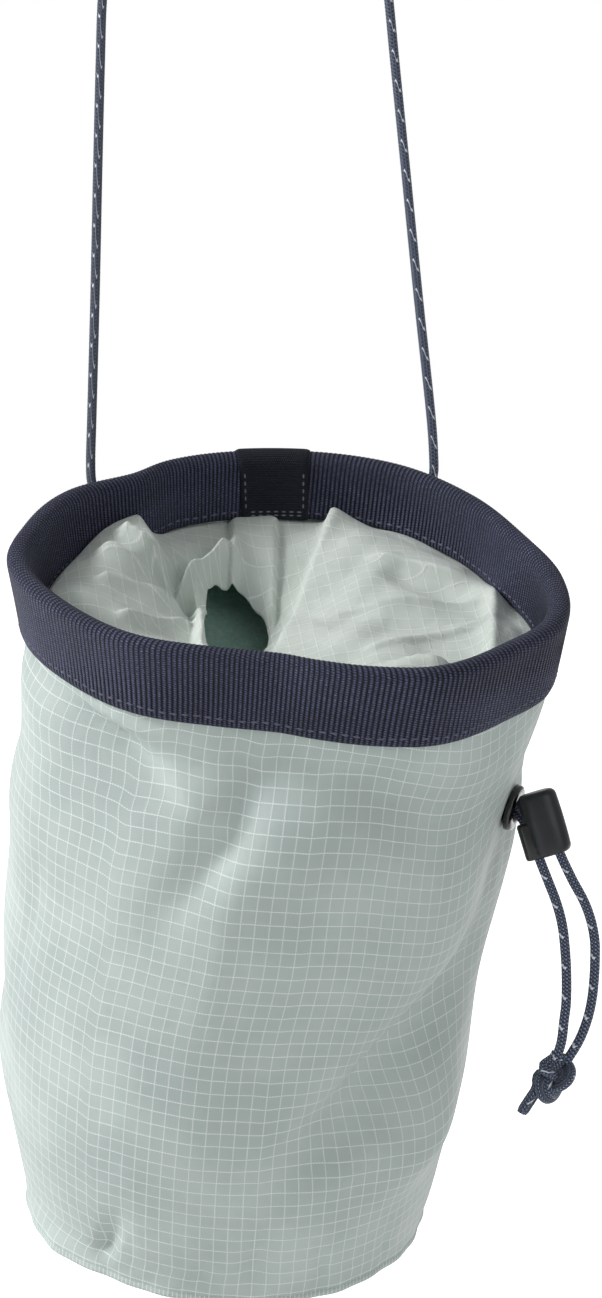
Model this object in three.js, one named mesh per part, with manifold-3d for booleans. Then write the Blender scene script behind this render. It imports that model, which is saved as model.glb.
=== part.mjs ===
// Climbing chalk bag, hung by its waist cord with its mouth tipped to the front.
// Millimetres, +Z up, -Y is the front. The origin is where the cord's loop hangs.
import * as THREE from 'three';
import { mergeVertices } from 'three/addons/utils/BufferGeometryUtils.js';
import Module from 'manifold-3d';

const wasm = await Module();
wasm.setup();

// The bag as sewn, before it slumps
const mouthRadius = 62; // outside of the webbing
const bagHeight = 171; // from the webbing's crest to the base seam
const baseRadius = 49;
const sides = 48; // facets round the bag

// Cloth and webbing
const webbingHeight = 20; // outside the rim
const webbingInside = 16;
const webbingTaper = 3; // how far its lower edge is drawn in
const webbingWall = 1.05;
const shellWall = 1;
const cuffWall = 1;
const fleeceWall = 1.5;
const baseWall = 1.2;
const pipingRadius = 1.1;
const gap = 0.3; // between sewn layers

// How the bag hangs
const mouthCentre = new THREE.Vector3(11.4, -43.6, -168);
const tipForward = 23; // degrees
const leanRight = 5;
const turnRound = 8;

// Below the webbing the cloth takes its own round section over this height,
// and its folds fade out towards the webbing and the base seam
const relaxHeight = 36;
const foldFadeAbove = 9;
const foldFadeBelow = 7;

// The mouth's outline: degrees round from the front centre towards +X, and the
// reach as a share of the mouth radius
const mouthOutline = [
  { turn: 0, reach: 0.955 },
  { turn: 12, reach: 1.02 },
  { turn: 25, reach: 1.08 },
  { turn: 45, reach: 1.07 },
  { turn: 61, reach: 1.09 },
  { turn: 83, reach: 1.025 },
  { turn: 105, reach: 0.955 },
  { turn: 128, reach: 0.975 },
  { turn: 150, reach: 1.005 },
  { turn: 180, reach: 0.96 },
  { turn: 206, reach: 0.93 },
  { turn: 220, reach: 0.897 },
  { turn: 238, reach: 0.977 },
  { turn: 259, reach: 1.027 },
  { turn: 276, reach: 1.088 },
  { turn: 300, reach: 1.063 },
  { turn: 318, reach: 1.035 },
  { turn: 335, reach: 0.95 },
  { turn: 350, reach: 0.915 },
];

// The side wall below the webbing: depth as a share of the height, fullness
// from 0 at the base's radius to 1 at the neck's, and how far the section has
// slid aside and back, as shares of the mouth radius
const wallSections = [
  { down: 0.0, full: 1.0, aside: 0.0, back: 0.0 },
  { down: 0.118, full: 1.0, aside: 0.022, back: 0.0 },
  { down: 0.18, full: 0.96, aside: 0.012, back: -0.03 },
  { down: 0.24, full: 0.98, aside: -0.002, back: -0.06 },
  { down: 0.33, full: 1.25, aside: -0.026, back: -0.066 },
  { down: 0.45, full: 1.18, aside: -0.036, back: -0.066 },
  { down: 0.59, full: 1.0, aside: -0.078, back: -0.066 },
  { down: 0.76, full: 0.92, aside: -0.084, back: -0.066 },
  { down: 0.88, full: 0.48, aside: -0.07, back: -0.066 },
  { down: 0.95, full: 0.22, aside: -0.06, back: -0.066 },
  { down: 1.0, full: 0.0, aside: -0.058, back: -0.066 },
];

// The wall's dents and swells: place, half length and half width, the way the
// fold runs (degrees up from level) and its rise; shares of the height
const wallFolds = [
  { name: 'rim crease', turn: 308, down: 0.165, long: 0.15, wide: 0.034, runs: -24, rise: -0.017 },
  { name: 'crease runs on', turn: 330, down: 0.18, long: 0.12, wide: 0.035, runs: -8, rise: -0.013 },
  { name: 'lit ridge', turn: 332, down: 0.225, long: 0.1, wide: 0.035, runs: -20, rise: 0.012 },
  { name: 'valley beside it', turn: 341, down: 0.27, long: 0.12, wide: 0.04, runs: 62, rise: -0.013 },
  { name: 'swollen shoulder', turn: 290, down: 0.22, long: 0.18, wide: 0.11, runs: 70, rise: 0.016 },
  { name: 'dent on the right', turn: 18, down: 0.19, long: 0.17, wide: 0.055, runs: -24, rise: -0.014 },
  { name: 'eyelet hollow', turn: 62, down: 0.4, long: 0.14, wide: 0.055, runs: 75, rise: -0.014 },
  { name: 'slanting dent', turn: 37, down: 0.63, long: 0.2, wide: 0.065, runs: 36, rise: -0.032 },
  { name: 'swell below it', turn: 48, down: 0.78, long: 0.1, wide: 0.07, runs: 30, rise: 0.014 },
  { name: 'seam pucker', turn: 321, down: 0.95, long: 0.06, wide: 0.022, runs: 65, rise: -0.009 },
  { name: 'second pucker', turn: 2, down: 0.94, long: 0.05, wide: 0.022, runs: 80, rise: -0.008 },
  { name: 'back dent', turn: 150, down: 0.42, long: 0.22, wide: 0.07, runs: 40, rise: -0.018 },
  { name: 'back swell', turn: 205, down: 0.6, long: 0.2, wide: 0.1, runs: -30, rise: 0.012 },
  { name: 'far side dent', turn: 255, down: 0.62, long: 0.2, wide: 0.06, runs: -40, rise: -0.018 },
];

// The drawstring cuff inside the mouth: share of the way from the webbing to
// the gathered hole, and the drop as a share of the height
const cuffSections = [
  { way: 0.06, drop: 0.127 },
  { way: 0.22, drop: 0.128 },
  { way: 0.42, drop: 0.124 },
  { way: 0.62, drop: 0.13 },
  { way: 0.82, drop: 0.146 },
  { way: 1.0, drop: 0.17 },
];
const cuffHoleRadius = 16.5;
const cuffHoleAside = -4;
const cuffHoleBack = 22;
const cuffHem = 2.6; // thickness of the rolled hem round the hole
const cuffGathers = 8;
const gatherRise = 2.4;

// The cuff's puffs and pleats: place as for the sections, half sizes as
// degrees and share of the way, and rise as a share of the height
const cuffFolds = [
  { name: 'puff at the left', turn: 226, way: 0.3, round: 24, across: 0.24, rise: 0.03 },
  { name: 'twisted gathers', turn: 258, way: 0.66, round: 22, across: 0.2, rise: 0.026 },
  { name: 'fold behind the front', turn: 10, way: 0.5, round: 34, across: 0.2, rise: 0.03 },
  { name: 'ridge to the hole', turn: 146, way: 0.5, round: 11, across: 0.45, rise: 0.026 },
  { name: 'dent at the right', turn: 108, way: 0.4, round: 18, across: 0.25, rise: -0.018 },
  { name: 'flat panel', turn: 178, way: 0.4, round: 14, across: 0.3, rise: -0.012 },
];

// Webbing pieces sewn to the rim
const tapeWidth = 19.5;
const tapeWall = 0.9;
const tapeTurn = 179;
const tunnelLength = 74;
const tunnelTurn = 184;
const tunnelWall = 1.1;
const tunnelTop = 3.6; // below the crest
const tunnelHeight = 14;
const tunnelRoom = 4.4; // clear depth for the cord
const tunnelShoulder = 2.8; // height over which it comes out from the webbing

// Drawcord hardware
const cordRadius = 1.15;
const eyeletTurn = 68;
const eyeletDrop = 52;
const eyeletRadius = 5.5;
const eyeletBore = 2.75;
const eyeletRise = 1.3;
const eyeletBarrelWall = 0.75;
const eyeletSides = 16;
const flangeSeat = 0.7; // the flat flange clears the round wall
const eyeletDrill = 12; // length of the cut through the wall
const lockLength = 15.2;
const lockWidth = 9.2;
const lockDepth = 7.6;
const lockCorner = 3.4;
const lockEdge = 1.1;
const lockLean = 16.7; // degrees
const lockFromEyelet = new THREE.Vector3(7.7, -5.6, -3.3);
const lockBoreSpacing = 4.9;
const lockBoreAside = -1.1; // the bores sit nearer the bag than the lock's middle
const lockBoreDepth = 4;
const plungerHeight = 7.6;
const plungerWidth = 5.3;
const plungerRise = 2;
const plungerCorner = 1.6;
const plungerEdge = 0.5;
const plungerDrop = 3; // its middle lies this far below the body's

// The waist cord's route, from the middle of the tunnel round the loop and back
const waistRoute = [
  [0.8, 14.7, -153.8], [8.4, 16.2, -153.8], [16.9, 17.2, -154.1], [25.6, 17, -155],
  [34.1, 15.3, -156.5], [38.2, 13.8, -157.2], [41.8, 12.2, -156.9], [44.3, 10.9, -154.8],
  [45.4, 10, -151.3], [45.5, 9.2, -147], [44.7, 8, -136], [41.6, 5.4, -108], [38.5, 2.9, -78],
  [35.8, 0.9, -52], [34.3, 0, -37], [32.9, 0, -25.6], [28.1, 0, -14.2], [20.4, 0, -4.4],
  [10.6, 0, 0.1], [0, 0, 1.45], [-10.6, 0, 0.1], [-20.4, 0, -4.4], [-28.1, 0, -14.2],
  [-32.9, 0, -25.6], [-34.3, 0, -37], [-34.8, -0.9, -52], [-35.4, -2.9, -78], [-36, -5.4, -108],
  [-36.7, -7.8, -136], [-37, -8.6, -148], [-36.6, -8.7, -153.2], [-35, -8.2, -156.9],
  [-32.6, -6.9, -158.9], [-29.9, -4.8, -159.2], [-24.4, 0.9, -157.5], [-18.5, 6.1, -155.8],
  [-11.4, 10.2, -154.7], [-3.8, 13.3, -154], [-0.4, 14.3, -153.8],
];
const waistSteps = 66;

// The drawcord's two tails, from the cord lock down to the knot
const leftTail = [
  [67.5, -45.7, -235.7], [68.6, -45.7, -239.2], [70.6, -45.7, -244.3], [72.5, -45.6, -249.2],
  [73.8, -45.6, -253.8], [74.5, -45.6, -258.5], [75, -45.5, -265.5], [75, -45.3, -272.6],
  [74.5, -45.2, -277.2], [73.9, -45.1, -282.2], [72.5, -44.8, -286.8],
];
const rightTail = [
  [72.2, -45.7, -234.3], [73.3, -45.7, -237.8], [76.2, -45.7, -244], [79, -45.6, -249.2],
  [80.7, -45.2, -253.8], [81.6, -44.9, -258.5], [81.7, -44.6, -263.2], [81.5, -44.4, -267.9],
  [81, -44.2, -272.6], [79.9, -44.1, -277.4], [78, -44, -282.2], [74.8, -44.2, -287.4],
];
const tailSteps = 18;
const knotCentre = new THREE.Vector3(71.6, -44.4, -290.8);
const knotTurnRadius = 2.8;
const knotTurns = [
  { tip: 55, swing: 20, aside: 0.9, up: 0.5 },
  { tip: -40, swing: -35, aside: -0.8, up: -0.6 },
];
const stubLength = 9;
const stubLean = 41; // degrees

// Finishes
const finishes = {
  ripstop: { color: 0xc6d8d2, roughness: 0.62 },
  webbing: { color: 0x34384c, roughness: 0.85 },
  fleece: { color: 0x7fb3a3, roughness: 1.0 },
  plastic: { color: 0x23272e, roughness: 0.35 },
  cord: { color: 0x2c3346, roughness: 0.8 },
};

const { clamp, degToRad, lerp, smoothstep } = THREE.MathUtils;

// Reads one column of a table between its rows, with a smooth curve through them
function readColumn(rows, key, column, at) {
  let next = rows.findIndex((row) => row[key] > at);
  if (next === -1) next = rows.length - 1;
  next = Math.max(next, 1);
  const before = rows[Math.max(next - 2, 0)];
  const low = rows[next - 1];
  const high = rows[next];
  const after = rows[Math.min(next + 1, rows.length - 1)];
  const span = high[key] - low[key];
  const share = clamp((at - low[key]) / span, 0, 1);
  const slopeLow = ((high[column] - before[column]) / (high[key] - before[key])) * span;
  const slopeHigh = ((after[column] - low[column]) / (after[key] - low[key])) * span;
  const cube = share ** 3;
  const square = share ** 2;
  return (
    (2 * cube - 3 * square + 1) * low[column] +
    (cube - 2 * square + share) * slopeLow +
    (3 * square - 2 * cube) * high[column] +
    (cube - square) * slopeHigh
  );
}

// The same for a closed outline, whose rows repeat every full turn
const closedOutline = [-360, 0, 360].flatMap((whole) =>
  mouthOutline.map((row) => ({ turn: row.turn + whole, reach: row.reach })),
);

function outlineReach(turn) {
  const once = ((turn % 360) + 360) % 360;
  return readColumn(closedOutline, 'turn', 'reach', once);
}

// Outside of the cloth wall as sewn, at a level below the crest
const wallTopRadius = mouthRadius - webbingWall - gap;
const neckRadius = wallTopRadius - webbingTaper;

function wallRadius(level) {
  if (level > -webbingHeight) return lerp(wallTopRadius, neckRadius, -level / webbingHeight);
  return lerp(baseRadius, neckRadius, readColumn(wallSections, 'down', 'full', -level / bagHeight));
}

function angleApart(turn, other) {
  return ((((turn - other) % 360) + 540) % 360) - 180;
}

// How far the folds lift the wall at one place
function foldRise(turn, level) {
  let rise = 0;
  for (const fold of wallFolds) {
    const round = degToRad(angleApart(turn, fold.turn)) * mouthRadius;
    const up = level + fold.down * bagHeight;
    const slope = degToRad(fold.runs);
    const along = (round * Math.cos(slope) + up * Math.sin(slope)) / (fold.long * bagHeight);
    const across = (up * Math.cos(slope) - round * Math.sin(slope)) / (fold.wide * bagHeight);
    rise += fold.rise * bagHeight * Math.exp(-(along ** 2) - across ** 2);
  }
  const clearOfWebbing = smoothstep(-level, webbingHeight, webbingHeight + foldFadeAbove);
  const clearOfSeam = 1 - smoothstep(-level, bagHeight - foldFadeBelow, bagHeight);
  return rise * clearOfWebbing * clearOfSeam;
}

// Where a point of the sewn, round bag lies once it hangs: turn in degrees
// from the front, out from the wall's outside, level below the crest
function settle(turn, out, level) {
  const wall = wallRadius(level);
  const share = (wall + out) / wall;
  const relaxed = smoothstep(-level, webbingHeight, webbingHeight + relaxHeight);
  const reach = (wall + out) * lerp(outlineReach(turn), 1, relaxed) + foldRise(turn, level) * share ** 2;
  const down = clamp(-level / bagHeight, 0, 1);
  const aside = readColumn(wallSections, 'down', 'aside', down) * mouthRadius;
  const back = readColumn(wallSections, 'down', 'back', down) * mouthRadius;
  const angle = degToRad(turn);
  return new THREE.Vector3(reach * Math.sin(angle) + aside, back - reach * Math.cos(angle), level);
}

function moveVertices(geometry, move) {
  const position = geometry.attributes.position;
  const point = new THREE.Vector3();
  for (let i = 0; i < position.count; i += 1) {
    point.fromBufferAttribute(position, i);
    const moved = move(point);
    position.setXYZ(i, moved.x, moved.y, moved.z);
  }
  return geometry;
}

// A closed ring of the given section, sewn round the bag's axis
function revolved(section, move = settle) {
  const profile = section.map(([out, level]) => new THREE.Vector2(wallRadius(level) + out, level));
  profile.push(profile[0].clone());
  const ring = new THREE.LatheGeometry(profile, sides);
  return moveVertices(ring, ({ x, y, z }) => {
    const turn = THREE.MathUtils.radToDeg(Math.atan2(x, z));
    return move(turn, Math.hypot(x, z) - wallRadius(y), y);
  });
}

// A strip of the given section laid along the rim, centred at a turn
function alongRim(section, length, centreTurn, steps) {
  const shape = new THREE.Shape(section.map(([out, level]) => new THREE.Vector2(out, level)));
  const strip = new THREE.ExtrudeGeometry(shape, { depth: length, steps, bevelEnabled: false });
  return moveVertices(strip, ({ x, y, z }) => {
    const turn = centreTurn - THREE.MathUtils.radToDeg((z - length / 2) / mouthRadius);
    return settle(turn, x, y);
  });
}

function evenly(from, to, count) {
  return Array.from({ length: count + 1 }, (_, i) => lerp(from, to, i / count));
}

function toSolid(geometry) {
  const bare = geometry.index ? geometry.toNonIndexed() : geometry.clone();
  bare.deleteAttribute('normal');
  bare.deleteAttribute('uv');
  const merged = mergeVertices(bare, 1e-4);
  return new wasm.Manifold(
    new wasm.Mesh({
      numProp: 3,
      vertProperties: new Float32Array(merged.attributes.position.array),
      triVerts: new Uint32Array(merged.index.array),
    }),
  );
}

function toGeometry(solid) {
  const mesh = solid.getMesh();
  const geometry = new THREE.BufferGeometry();
  geometry.setAttribute('position', new THREE.BufferAttribute(mesh.vertProperties, 3));
  geometry.setIndex(new THREE.BufferAttribute(mesh.triVerts, 1));
  return geometry;
}

function piece(name, geometry, finish) {
  const mesh = new THREE.Mesh(geometry, new THREE.MeshStandardMaterial(finishes[finish]));
  mesh.name = name;
  return mesh;
}

// Webbing folded over the rim, with a slot that takes the shell and the cuff
const slotWidth = shellWall + cuffWall + 3 * gap;
const rimInside = gap - slotWidth - webbingWall;
const crestRound = (2 * webbingWall + slotWidth) / 2;

function rimSection() {
  const outside = webbingWall + gap;
  const middle = (outside + rimInside) / 2;
  const crest = [45, 90, 135].map((degrees) => [
    middle + crestRound * Math.cos(degToRad(degrees)),
    crestRound * Math.sin(degToRad(degrees)) - crestRound,
  ]);
  return [
    [gap, -webbingHeight],
    [outside, -webbingHeight],
    [outside, -crestRound],
    ...crest,
    [rimInside, -crestRound],
    [rimInside, -webbingInside],
    [gap - slotWidth, -webbingInside],
    [gap - slotWidth, -crestRound],
    [gap, -crestRound],
  ];
}

const slotTop = -crestRound - gap;

// The outer shell, open at the top and the bottom
const wallRings = 13;
const wallLevels = evenly(-bagHeight, -webbingHeight, wallRings);

function shellSolid() {
  const outside = [...wallLevels, slotTop].map((level) => [0, level]);
  const inside = outside.map(([, level]) => [-shellWall, level]).reverse();
  return toSolid(revolved([...outside, ...inside]));
}

// The fleece lining, a cup sewn in below the webbing that hangs free lower down
const fleeceEase = 4; // how far it stands off the shell
const floorLevel = -bagHeight + gap + baseWall;

function fleeceGeometry() {
  const freeLevels = wallLevels.filter((_, i) => i % 2 === 1 && i < wallRings - 2);
  const rings = [
    ...[floorLevel, ...freeLevels].map((level) => ({ level, ease: fleeceEase })),
    { level: wallLevels[wallRings - 2], ease: fleeceEase / 2 },
    { level: wallLevels[wallRings - 1], ease: 0 },
  ];
  const outside = rings.map(({ level, ease }) => [-shellWall - gap - ease, level]);
  const inside = outside.slice(1).map(([out, level]) => [out - fleeceWall, level]).reverse();
  const floor = floorLevel + fleeceWall;
  return revolved([
    [-wallRadius(floorLevel), floorLevel],
    ...outside,
    ...inside,
    [outside[0][0] - fleeceWall, floor],
    [-wallRadius(floor), floor],
  ]);
}

// The cuff: from the webbing's slot it turns in to a gathered hole
function cuffPoint(turn, way, level, lift) {
  const edge = settle(turn, -shellWall - gap - cuffWall / 2, level);
  const angle = degToRad(turn);
  const hole = new THREE.Vector3(
    cuffHoleAside + cuffHoleRadius * Math.sin(angle),
    cuffHoleBack - cuffHoleRadius * Math.cos(angle),
    level,
  );
  const point = edge.lerp(hole, way);
  let rise = gatherRise * Math.cos(degToRad(turn) * cuffGathers) * smoothstep(way, 0.1, 0.9);
  for (const fold of cuffFolds) {
    const round = angleApart(turn, fold.turn) / fold.round;
    const across = (way - fold.way) / fold.across;
    rise += fold.rise * bagHeight * Math.exp(-(round ** 2) - across ** 2) * smoothstep(way, 0.04, 0.16);
  }
  point.z += rise + lift;
  return point;
}

function cuffGeometry() {
  const row = (lift) => ({ way, drop }) => ({ way, level: -drop * bagHeight, lift });
  const legLevels = [-webbingInside, slotTop];
  const legOutside = -shellWall - gap;
  const loop = [
    ...cuffSections.map(row(-cuffWall / 2)).reverse(),
    ...legLevels.map((level) => ({ out: legOutside, level })),
    ...legLevels.map((level) => ({ out: legOutside - cuffWall, level })).reverse(),
    ...cuffSections.map(row(cuffWall / 2)),
  ];
  loop[0].lift = -cuffHem;
  const profile = loop.map((_, i) => new THREE.Vector2(mouthRadius + i, 0));
  profile.push(profile[0].clone());
  const ring = new THREE.LatheGeometry(profile, sides);
  return moveVertices(ring, ({ x, z }) => {
    const turn = THREE.MathUtils.radToDeg(Math.atan2(x, z));
    const place = loop[Math.round(Math.hypot(x, z) - mouthRadius)];
    if (place.way === undefined) return settle(turn, place.out, place.level);
    return cuffPoint(turn, place.way, place.level, place.lift);
  });
}

// The base: a disc inside a ring of piping, under the shell's lower edge
const seamLevel = -bagHeight - gap - pipingRadius;

function pipingGeometry() {
  const ring = evenly(0, 288, 4).map((degrees) => [
    pipingRadius * Math.cos(degToRad(degrees)) - shellWall / 2,
    seamLevel + pipingRadius * Math.sin(degToRad(degrees)),
  ]);
  return revolved(ring);
}

function baseGeometry() {
  const edge = -shellWall / 2 - pipingRadius - gap;
  const top = seamLevel + baseWall / 2;
  const under = seamLevel - baseWall / 2;
  return revolved([
    [-wallRadius(under), under],
    [edge, under],
    [edge, top],
    [-wallRadius(top), top],
  ]);
}

// The tape folded over the rim at the back, outside the webbing's crest
function tapeSection() {
  const inner = rimInside - gap;
  const outer = webbingWall + 2 * gap;
  const middle = (inner + outer) / 2;
  const round = (outer - inner) / 2;
  const arc = (radius, degrees) => [
    middle + radius * Math.cos(degToRad(degrees)),
    radius * Math.sin(degToRad(degrees)) - crestRound,
  ];
  const bends = [0, 30, 60, 90, 120, 150, 180];
  return [
    [inner - tapeWall, -webbingInside],
    [inner, -webbingInside],
    ...bends.map((degrees) => arc(round, degrees)).reverse(),
    ...bends.map((degrees) => arc(round + tapeWall, degrees)),
  ];
}

// The tunnel that the waist cord runs through, sewn to the webbing's back
function tunnelSection() {
  const foot = webbingWall + 2 * gap;
  const crown = foot + tunnelRoom;
  const top = -tunnelTop;
  const low = top - tunnelHeight;
  const flange = tunnelWall;
  return [
    [foot, low],
    [foot + flange, low],
    [crown + tunnelWall, low + tunnelShoulder],
    [crown + tunnelWall, top - tunnelShoulder],
    [foot + flange, top],
    [foot, top],
    [foot, top - flange],
    [crown, top - tunnelShoulder - flange / 2],
    [crown, low + tunnelShoulder + flange / 2],
    [foot, low + flange],
  ];
}

// The frame of a fitting seated on the wall, with +Z out of the cloth
function seatOnWall(turn, level) {
  const seat = settle(turn, 0, level);
  const step = 1;
  const roundwise = settle(turn + step, 0, level).sub(settle(turn - step, 0, level));
  const upward = settle(turn, 0, level + step).sub(settle(turn, 0, level - step));
  const normal = roundwise.cross(upward).normalize();
  const quaternion = new THREE.Quaternion().setFromUnitVectors(new THREE.Vector3(0, 0, 1), normal);
  return new THREE.Matrix4().compose(seat, quaternion, new THREE.Vector3(1, 1, 1));
}

const eyeletSeat = seatOnWall(eyeletTurn, -eyeletDrop);
const barrelRadius = eyeletBore + eyeletBarrelWall;

function eyeletGeometry() {
  const rim = flangeSeat + eyeletRise;
  const section = [
    [eyeletBore, -shellWall - 3 * gap],
    [barrelRadius, -shellWall - 3 * gap],
    [barrelRadius, flangeSeat],
    [eyeletRadius, flangeSeat],
    [eyeletRadius, flangeSeat + 0.4 * eyeletRise],
    [lerp(eyeletBore, eyeletRadius, 0.68), flangeSeat + 0.85 * eyeletRise],
    [lerp(eyeletBore, eyeletRadius, 0.3), rim],
    [eyeletBore, flangeSeat + 0.8 * eyeletRise],
  ];
  const profile = section.map(([radius, height]) => new THREE.Vector2(radius, height));
  profile.push(profile[0].clone());
  return new THREE.LatheGeometry(profile, eyeletSides).rotateX(Math.PI / 2).applyMatrix4(eyeletSeat);
}

function eyeletHole() {
  const hole = barrelRadius + gap;
  const drill = new THREE.CylinderGeometry(hole, hole, eyeletDrill, eyeletSides);
  return toSolid(drill.rotateX(Math.PI / 2).applyMatrix4(eyeletSeat));
}

// The cord lock, in its own frame: +Z up along the cords, +X away from the bag
function roundedPlate(width, depth, corner) {
  const shape = new THREE.Shape();
  const x = width / 2 - corner;
  const y = depth / 2 - corner;
  shape.absarc(x, y, corner, 0, Math.PI / 2);
  shape.absarc(-x, y, corner, Math.PI / 2, Math.PI);
  shape.absarc(-x, -y, corner, Math.PI, 1.5 * Math.PI);
  shape.absarc(x, -y, corner, 1.5 * Math.PI, 2 * Math.PI);
  return shape;
}

function softBlock(width, depth, height, corner, edge) {
  const shape = roundedPlate(width - 2 * edge, depth - 2 * edge, corner - edge);
  const block = new THREE.ExtrudeGeometry(shape, {
    depth: height - 2 * edge,
    steps: 1,
    curveSegments: 2,
    bevelThickness: edge,
    bevelSize: edge,
    bevelSegments: 2,
  });
  return block.translate(0, 0, edge - height / 2);
}

function lockBodyGeometry() {
  const bore = cordRadius + gap;
  let body = toSolid(softBlock(lockWidth, lockDepth, lockLength, lockCorner, lockEdge));
  for (const side of [-1, 1]) {
    const drill = new THREE.CylinderGeometry(bore, bore, 2 * lockBoreDepth, 8).rotateX(Math.PI / 2);
    drill.translate(lockBoreAside + (side * lockBoreSpacing) / 2, 0, -lockLength / 2);
    body = body.subtract(toSolid(drill));
  }
  return toGeometry(body);
}

function plungerGeometry() {
  const plunger = softBlock(plungerWidth, plungerHeight, plungerRise, plungerCorner, plungerEdge);
  plunger.rotateY(-Math.PI / 2).rotateX(Math.PI / 2);
  return plunger.translate(-lockWidth / 2 - gap - plungerRise / 2, 0, -plungerDrop);
}

// Cords
function cordSection(halfWidth = 0) {
  const corners = Array.from({ length: 8 }, (_, i) => {
    const angle = ((i + 0.5) * Math.PI) / 4;
    const side = Math.sign(Math.cos(angle)) * halfWidth;
    return new THREE.Vector2(cordRadius * Math.cos(angle) + side, cordRadius * Math.sin(angle));
  });
  return new THREE.Shape(corners);
}

function cordGeometry(route, steps, halfWidth = 0) {
  const points = route.map((point) => new THREE.Vector3(...point));
  const extrudePath = new THREE.CatmullRomCurve3(points);
  return new THREE.ExtrudeGeometry(cordSection(halfWidth), { steps, extrudePath, bevelEnabled: false });
}

// The knot: two turns of cord round a tight middle, and the fused end below
function knotGeometry() {
  const middle = toSolid(new THREE.SphereGeometry(knotTurnRadius, 8, 5));
  const stub = new THREE.CapsuleGeometry(cordRadius, stubLength, 2, 8).translate(0, -stubLength / 2, 0);
  stub.rotateX(Math.PI / 2).rotateY(degToRad(stubLean));
  let knot = middle.add(toSolid(stub));
  for (const { tip, swing, aside, up } of knotTurns) {
    const ring = new THREE.TorusGeometry(knotTurnRadius, cordRadius, 6, 10);
    ring.rotateX(degToRad(tip)).rotateY(degToRad(swing)).translate(aside, 0, up);
    knot = knot.add(toSolid(ring));
  }
  return toGeometry(knot).translate(...knotCentre);
}

// The sewn bag, tipped as it hangs
const bagPose = new THREE.Group();
bagPose.position.copy(mouthCentre);
bagPose.rotation.set(degToRad(tipForward), degToRad(leanRight), degToRad(turnRound), 'YXZ');
bagPose.updateMatrixWorld();
bagPose.add(
  piece('outer_shell', toGeometry(shellSolid().subtract(eyeletHole())), 'ripstop'),
  piece('base_piping', pipingGeometry(), 'ripstop'),
  piece('base_panel', baseGeometry(), 'ripstop'),
  piece('fleece_lining', fleeceGeometry(), 'fleece'),
  piece('closure_cuff', cuffGeometry(), 'ripstop'),
  piece('rim_band', revolved(rimSection()), 'webbing'),
  piece('rim_join_tape', alongRim(tapeSection(), tapeWidth, tapeTurn, 3), 'webbing'),
  piece('belt_tunnel', alongRim(tunnelSection(), tunnelLength, tunnelTurn, 12), 'webbing'),
  piece('drawcord_eyelet', eyeletGeometry(), 'plastic'),
);

// The cord lock hangs beside the eyelet
const eyeletCentre = new THREE.Vector3().applyMatrix4(eyeletSeat).applyMatrix4(bagPose.matrixWorld);
const eyeletWay = new THREE.Vector3().setFromMatrixColumn(eyeletSeat, 2);
eyeletWay.transformDirection(bagPose.matrixWorld);
const lockPose = new THREE.Group();
lockPose.position.copy(eyeletCentre).add(lockFromEyelet);
lockPose.rotation.y = -degToRad(lockLean);
lockPose.add(
  piece('cord_lock_body', lockBodyGeometry(), 'plastic'),
  piece('cord_lock_plunger', plungerGeometry(), 'plastic'),
);

// The doubled drawcord where it leaves the eyelet, up to the lock's side
function neckGeometry() {
  const along = [-shellWall, 0, flangeSeat, flangeSeat + eyeletRise];
  const route = along.map((way) => eyeletCentre.clone().addScaledVector(eyeletWay, way).toArray());
  return cordGeometry(route, along.length - 1, cordRadius);
}

const chalkBag = new THREE.Group();
chalkBag.add(
  bagPose,
  lockPose,
  piece('drawcord_neck', neckGeometry(), 'cord'),
  piece('drawcord_tail_left', cordGeometry(leftTail, tailSteps), 'cord'),
  piece('drawcord_tail_right', cordGeometry(rightTail, tailSteps), 'cord'),
  piece('drawcord_knot', knotGeometry(), 'cord'),
  piece('waist_cord', cordGeometry(waistRoute, waistSteps), 'cord'),
);

export default chalkBag;
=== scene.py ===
"""The looks of a climbing chalk bag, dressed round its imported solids.

The scene is in metres, +Z up, with -Y to the front. The bag is worked out in millimetres
in its own frame, with level 0 at the webbing's crest, and is then tipped as it hangs.
"""

import logging
import math
from collections.abc import Callable, Sequence
from dataclasses import dataclass, field
from enum import Enum

import bmesh
import bpy
import numpy as np
from mathutils import Matrix, Vector

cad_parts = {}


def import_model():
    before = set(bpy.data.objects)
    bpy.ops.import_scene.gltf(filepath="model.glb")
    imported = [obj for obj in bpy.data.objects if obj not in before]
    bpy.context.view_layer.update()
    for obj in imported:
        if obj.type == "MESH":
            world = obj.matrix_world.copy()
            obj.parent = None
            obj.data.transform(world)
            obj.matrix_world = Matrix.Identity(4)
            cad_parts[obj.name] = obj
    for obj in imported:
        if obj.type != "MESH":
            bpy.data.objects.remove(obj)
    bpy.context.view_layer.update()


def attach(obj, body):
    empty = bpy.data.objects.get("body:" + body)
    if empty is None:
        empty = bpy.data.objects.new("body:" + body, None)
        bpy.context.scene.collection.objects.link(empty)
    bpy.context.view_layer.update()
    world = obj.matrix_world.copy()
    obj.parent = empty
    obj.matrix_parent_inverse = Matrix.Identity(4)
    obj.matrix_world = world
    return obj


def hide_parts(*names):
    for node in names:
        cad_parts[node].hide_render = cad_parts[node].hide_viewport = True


LOG = logging.getLogger("chalk_bag")
MM = 0.001
CLOTH_MAP = "Cloth"
Place = Callable[[np.ndarray, np.ndarray], np.ndarray]


class Slot(Enum):
    """Material slots."""

    RIPSTOP = "ripstop"
    WEBBING = "webbing"
    FLEECE = "fleece"
    PLASTIC = "plastic"
    CORD = "cord"


class RibWay(Enum):
    """Which way the ribs of a piece of webbing run."""

    ACROSS = "across"
    ALONG = "along"


class Crease(Enum):
    """The section of a fold in the cuff."""

    SOFT = "soft"
    SHARP = "sharp"
    FLAT = "flat"


# The bag's form


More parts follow.
